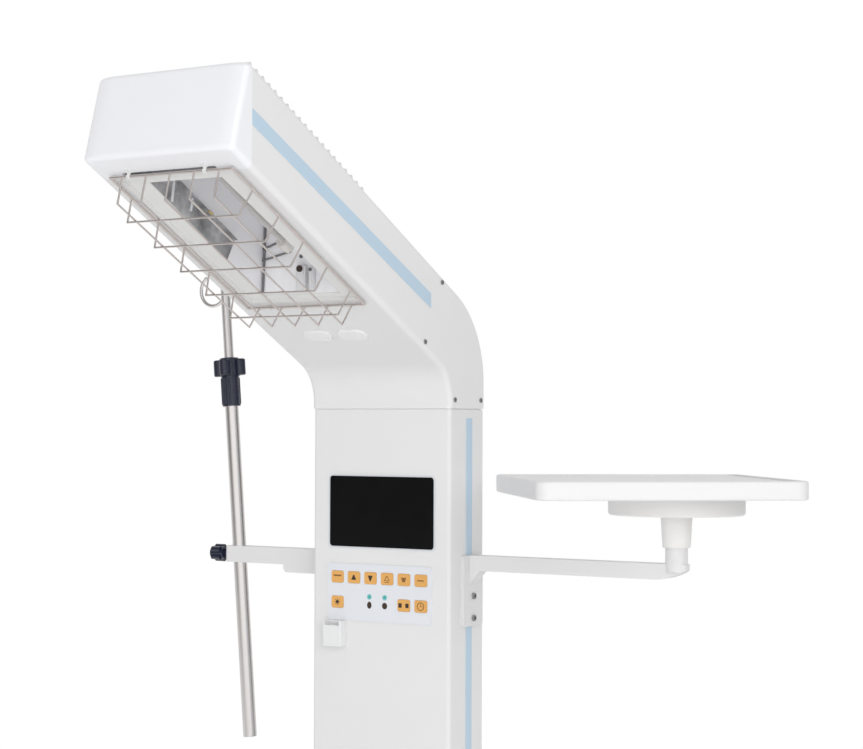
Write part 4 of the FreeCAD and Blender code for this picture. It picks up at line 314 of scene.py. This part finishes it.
def key_marks():
    """One plain symbol on each key: dashes, arrows, a bell, a lamp, a sun, two squares and a dial."""
    up = [(-4.4, -3.6), (4.4, -3.6), (0.9, 3.8), (-0.9, 3.8)]
    down = [(-0.9, -4.4), (0.9, -4.4), (4.2, 3.8), (-4.2, 3.8)]
    lamp = [(-2.2, -3.4), (2.2, -3.4), (4.4, 3.2), (-4.4, 3.2)]
    bell = [(-4.8, -3.0), (4.8, -3.0), (1.3, 4.2), (-1.3, 4.2)]
    bell_inner = [(-3.1, -2.1), (3.1, -2.1), (0.6, 3.1), (-0.6, 3.1)]
    sun = [ngon(20, 2.7, 2.7)]
    for i in range(8):
        a = math.pi * i / 4.0
        side = (-math.sin(a) * 0.45, math.cos(a) * 0.45)
        near, far = 3.4, 4.9
        sun.append([(near * math.cos(a) - side[0], near * math.sin(a) - side[1]),
                    (far * math.cos(a) - side[0], far * math.sin(a) - side[1]),
                    (far * math.cos(a) + side[0], far * math.sin(a) + side[1]),
                    (near * math.cos(a) + side[0], near * math.sin(a) + side[1])])
    marks = {
        1: (INK_BROWN, [rect(13.5, 2.2, 0.0, 1.8)], None),
        2: (INK, [up], None),
        3: (INK, [down], None),
        4: (INK_BROWN, [rect(7.6, 1.0, 0.0, -5.0)], (bell, bell_inner)),
        5: (INK_BROWN, [lamp], None),
        6: (INK_BROWN, [rect(11.0, 1.8)], None),
        7: (INK, sun, None),
        8: (INK, [rect(5.6, 6.4, -6.0), rect(5.6, 6.4, 6.0)], None),
        9: (INK_BROWN, [rect(1.0, 4.6, 0.0, 1.8), rect(3.4, 1.0, 1.3, 0.0)],
            (ngon(28, 6.2, 6.2), ngon(28, 4.9, 4.9))),
    }
    for number, (ink, outlines, loop) in marks.items():
        low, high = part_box("key_%d" % number)
        origin = ((low[0] + high[0]) / 2.0, low[1], (low[2] + high[2]) / 2.0)
        bm = bmesh.new()
        for outline in outlines:
            slab(bm, outline, origin)
        if loop:
            ring(bm, loop[0], loop[1], origin)
        piece("mark_key_%d" % number, bm, ink, "key_body_%d" % number)


def panel_marks():
    """Two dark ovals and two pale rings printed round the indicators."""
    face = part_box("keypad_overlay")[0][1]
    low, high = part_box("keypad_leds")
    height = (low[2] + high[2]) / 2.0
    radius = (high[2] - low[2]) / 2.0
    ovals = bmesh.new()
    rings = bmesh.new()
    for x, rx, rz in ((low[0] + radius, 3.9, 5.2), (high[0] - radius, 4.5, 4.8)):
        slab(ovals, ngon(28, rx, rz), (x, face, height - 0.0122))
        ring(rings, ngon(28, 4.1, 4.1), ngon(28, 2.7, 2.7), (x, face, height))
    piece("panel_ovals", ovals, INK)
    piece("panel_rings", rings, INK_TEAL)


def bar(name, points, radius, material, body="stand"):
    """Round bar along points in metres, closed at both ends."""
    curve = bpy.data.curves.new(name, "CURVE")
    curve.dimensions = "3D"
    curve.bevel_depth = radius
    curve.bevel_resolution = 4
    curve.use_fill_caps = True
    spline = curve.splines.new("POLY")
    spline.points.add(len(points) - 1)
    for point, place in zip(spline.points, points):
        point.co = (*place, 1.0)
    curve.materials.append(material)
    ob = bpy.data.objects.new(name, curve)
    scene.collection.objects.link(ob)
    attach(ob, body)


def block(name, low, high, bevel, material):
    """Rounded block between two corners."""
    bm = bmesh.new()
    centre = (Vector(low) + Vector(high)) / 2.0
    size = Vector(high) - Vector(low)
    bmesh.ops.create_cube(bm, size=1.0, matrix=Matrix.Translation(centre) @ Matrix.Diagonal((*size, 1.0)))
    bmesh.ops.bevel(bm, geom=bm.edges[:], offset=bevel, segments=3, affect="EDGES")
    piece(name, bm, material)


HEAD_TILT = math.radians(27.5)
HEAD_PIVOT_Y = -46.0
HEAD_PIVOT_Z = 1525.2
HEATER_REAR_WALL = -0.2478


def on_head(x, along, high):
    """Place on the tilted head, from millimetres across it, along it and up from its lower edge."""
    y = HEAD_PIVOT_Y - along * math.cos(HEAD_TILT) + high * math.sin(HEAD_TILT)
    z = HEAD_PIVOT_Z + along * math.sin(HEAD_TILT) + high * math.cos(HEAD_TILT)
    return (x * 0.001, y * 0.001, z * 0.001)


def heater_fittings():
    """Sensor leads, two holders and a button on the rear wall, bars and a tag on the left mirror."""
    wall = HEATER_REAR_WALL
    post = [(-0.0645, wall - 0.0016, 1.6400), (-0.0600, wall - 0.0016, 1.7400)]
    bar("heater_post", post, 0.0016, DARK_METAL)
    struts = (((-0.0635, 1.7020), (-0.0330, 1.7120)), ((-0.0640, 1.6860), (-0.0165, 1.6970)))
    for number, (a, b) in enumerate(struts, 1):
        bar("heater_strut_%d" % number, [(a[0], wall - 0.0030, a[1]), (b[0], wall - 0.0014, b[1])],
            0.0015, DARK_METAL)
    block("heater_holder_1", (-0.0030, wall - 0.0100, 1.6400), (0.0125, wall, 1.6770), 0.0018, PALE_PART)
    block("heater_holder_2", (0.0180, wall - 0.0080, 1.6400), (0.0250, wall, 1.6745), 0.0014, PALE_PART)
    for name, x, z, radius, reach, material in (
            ("heater_button", 0.0052, 1.6715, 0.0046, 0.0125, INK),
            ("heater_screw_1", 0.0215, 1.6700, 0.0024, 0.0092, DARK_METAL),
            ("heater_screw_2", 0.0005, 1.6895, 0.0026, 0.0018, DARK_METAL)):
        bm = bmesh.new()
        slab(bm, ngon(24, radius * 1000.0, radius * 1000.0), (x, wall, z), reach)
        piece(name, bm, material)
    bar("mirror_bar_1", [on_head(-59.7, 467, 9), on_head(-58.3, 479, 37)], 0.0022, PALE_PART)
    bar("mirror_bar_2", [on_head(-60.6, 427, 20), on_head(-59.6, 433, 37)], 0.0018, PALE_PART)
    bar("mirror_tag", [on_head(-55.5, 391, 37.8), on_head(-55.7, 400, 37.8)], 0.0017, BRASS)


key_marks()
panel_marks()
heater_fittings()


# Studio: a pale floor, white surroundings and broad soft lamps

AMBIENT = 0.70
FLOOR_RADIUS = 14.0
FLOOR_GLOW = 2.14
FLOOR_GLOW_SHARE = 0.25

world = bpy.data.worlds.new("studio")
scene.world = world
world.use_nodes = True
wt = world.node_tree
for node in list(wt.nodes):
    wt.nodes.remove(node)
out = wt.nodes.new("ShaderNodeOutputWorld")
light_path = wt.nodes.new("ShaderNodeLightPath")
seen = wt.nodes.new("ShaderNodeBackground")
seen.inputs["Color"].default_value = (1.0, 1.0, 1.0, 1.0)
seen.inputs["Strength"].default_value = 1.0
ambient = wt.nodes.new("ShaderNodeBackground")
ambient.inputs["Color"].default_value = (1.0, 1.0, 1.0, 1.0)
ambient.inputs["Strength"].default_value = AMBIENT
coord = wt.nodes.new("ShaderNodeTexCoord")
facing = wt.nodes.new("ShaderNodeVectorMath")
facing.operation = "DOT_PRODUCT"
facing.inputs[1].default_value = (0.300, -0.400, 0.0)
wt.links.new(coord.outputs["Generated"], facing.inputs[0])
centred = wt.nodes.new("ShaderNodeMath")
centred.operation = "ADD"
centred.inputs[1].default_value = 0.5
wt.links.new(facing.outputs["Value"], centred.inputs[0])
panels = wt.nodes.new("ShaderNodeValToRGB")
stops = ((0.0, 0.80), (0.30, 0.55), (0.48, 0.20), (0.68, 0.12), (0.82, 0.42), (0.93, 0.90), (1.0, 0.95))
for index, (position, value) in enumerate(stops):
    element = panels.color_ramp.elements[index] if index < 2 else panels.color_ramp.elements.new(position)
    element.position = position
    element.color = (value, value, value, 1.0)
wt.links.new(centred.outputs[0], panels.inputs["Fac"])
mirrored = wt.nodes.new("ShaderNodeBackground")
mirrored.inputs["Strength"].default_value = 1.0
wt.links.new(panels.outputs["Color"], mirrored.inputs["Color"])
around = wt.nodes.new("ShaderNodeMixShader")
wt.links.new(light_path.outputs["Is Glossy Ray"], around.inputs["Fac"])
wt.links.new(ambient.outputs[0], around.inputs[1])
wt.links.new(mirrored.outputs[0], around.inputs[2])
either = wt.nodes.new("ShaderNodeMath")
either.operation = "MAXIMUM"
wt.links.new(light_path.outputs["Is Camera Ray"], either.inputs[0])
wt.links.new(light_path.outputs["Is Transmission Ray"], either.inputs[1])
mixer = wt.nodes.new("ShaderNodeMixShader")
wt.links.new(either.outputs[0], mixer.inputs["Fac"])
wt.links.new(around.outputs[0], mixer.inputs[1])
wt.links.new(seen.outputs[0], mixer.inputs[2])
wt.links.new(mixer.outputs[0], out.inputs["Surface"])


def area(name, location, target, size, power):
    """Broad soft lamp aimed at a target; metal shows the surroundings instead of it."""
    data = bpy.data.lights.new(name, "AREA")
    data.shape = "RECTANGLE"
    data.size, data.size_y = size
    data.energy = power
    ob = bpy.data.objects.new(name, data)
    ob.location = location
    ob.rotation_euler = (Vector(target) - Vector(location)).to_track_quat("-Z", "Y").to_euler()
    ob.visible_glossy = False
    scene.collection.objects.link(ob)


area("key", (0.3, -3.6, 2.2), (0.0, -0.1, 1.5), (2.6, 2.0), 10.0)
area("fill", (2.3, -2.0, 2.1), (0.1, -0.4, 1.75), (1.8, 1.6), 26.0)
area("low", (0.7, -2.4, 0.30), (0.0, -0.3, 1.7), (2.4, 1.0), 11.0)
area("back", (0.6, 3.2, 2.4), (0.0, 0.0, 1.2), (2.4, 1.6), 16.0)

floor_mesh = bpy.data.meshes.new("floor")
bm = bmesh.new()
bmesh.ops.create_circle(bm, cap_ends=True, radius=FLOOR_RADIUS, segments=96)
bm.to_mesh(floor_mesh)
bm.free()
floor = bpy.data.objects.new("floor", floor_mesh)
scene.collection.objects.link(floor)
fn = Nodes("floor_pale")
fn.link(fn.ramp(fn.noise(1.5, 3.0), [(0.3, (0.92, 0.92, 0.92)), (0.7, (0.94, 0.94, 0.94))]),
        fn.bsdf.inputs["Base Color"])
fn.link(fn.range(fn.noise(8.0, 3.0), 0.75, 0.85), fn.bsdf.inputs["Roughness"])
glow = fn.new("ShaderNodeEmission", in_Strength=FLOOR_GLOW)
glow.inputs["Color"].default_value = (1.0, 1.0, 1.0, 1.0)
lp = fn.new("ShaderNodeLightPath")
share = fn.new("ShaderNodeMath", operation="MULTIPLY")
share.inputs[1].default_value = FLOOR_GLOW_SHARE
fn.link(lp.outputs["Is Camera Ray"], share.inputs[0])
mix = fn.new("ShaderNodeMixShader")
fn.link(share.outputs[0], mix.inputs["Fac"])
fn.link(fn.bsdf.outputs["BSDF"], mix.inputs[1])
fn.link(glow.outputs["Emission"], mix.inputs[2])
fn.link(mix.outputs["Shader"], fn.tree.nodes["Material Output"].inputs["Surface"])
floor_mesh.materials.append(fn.mat)
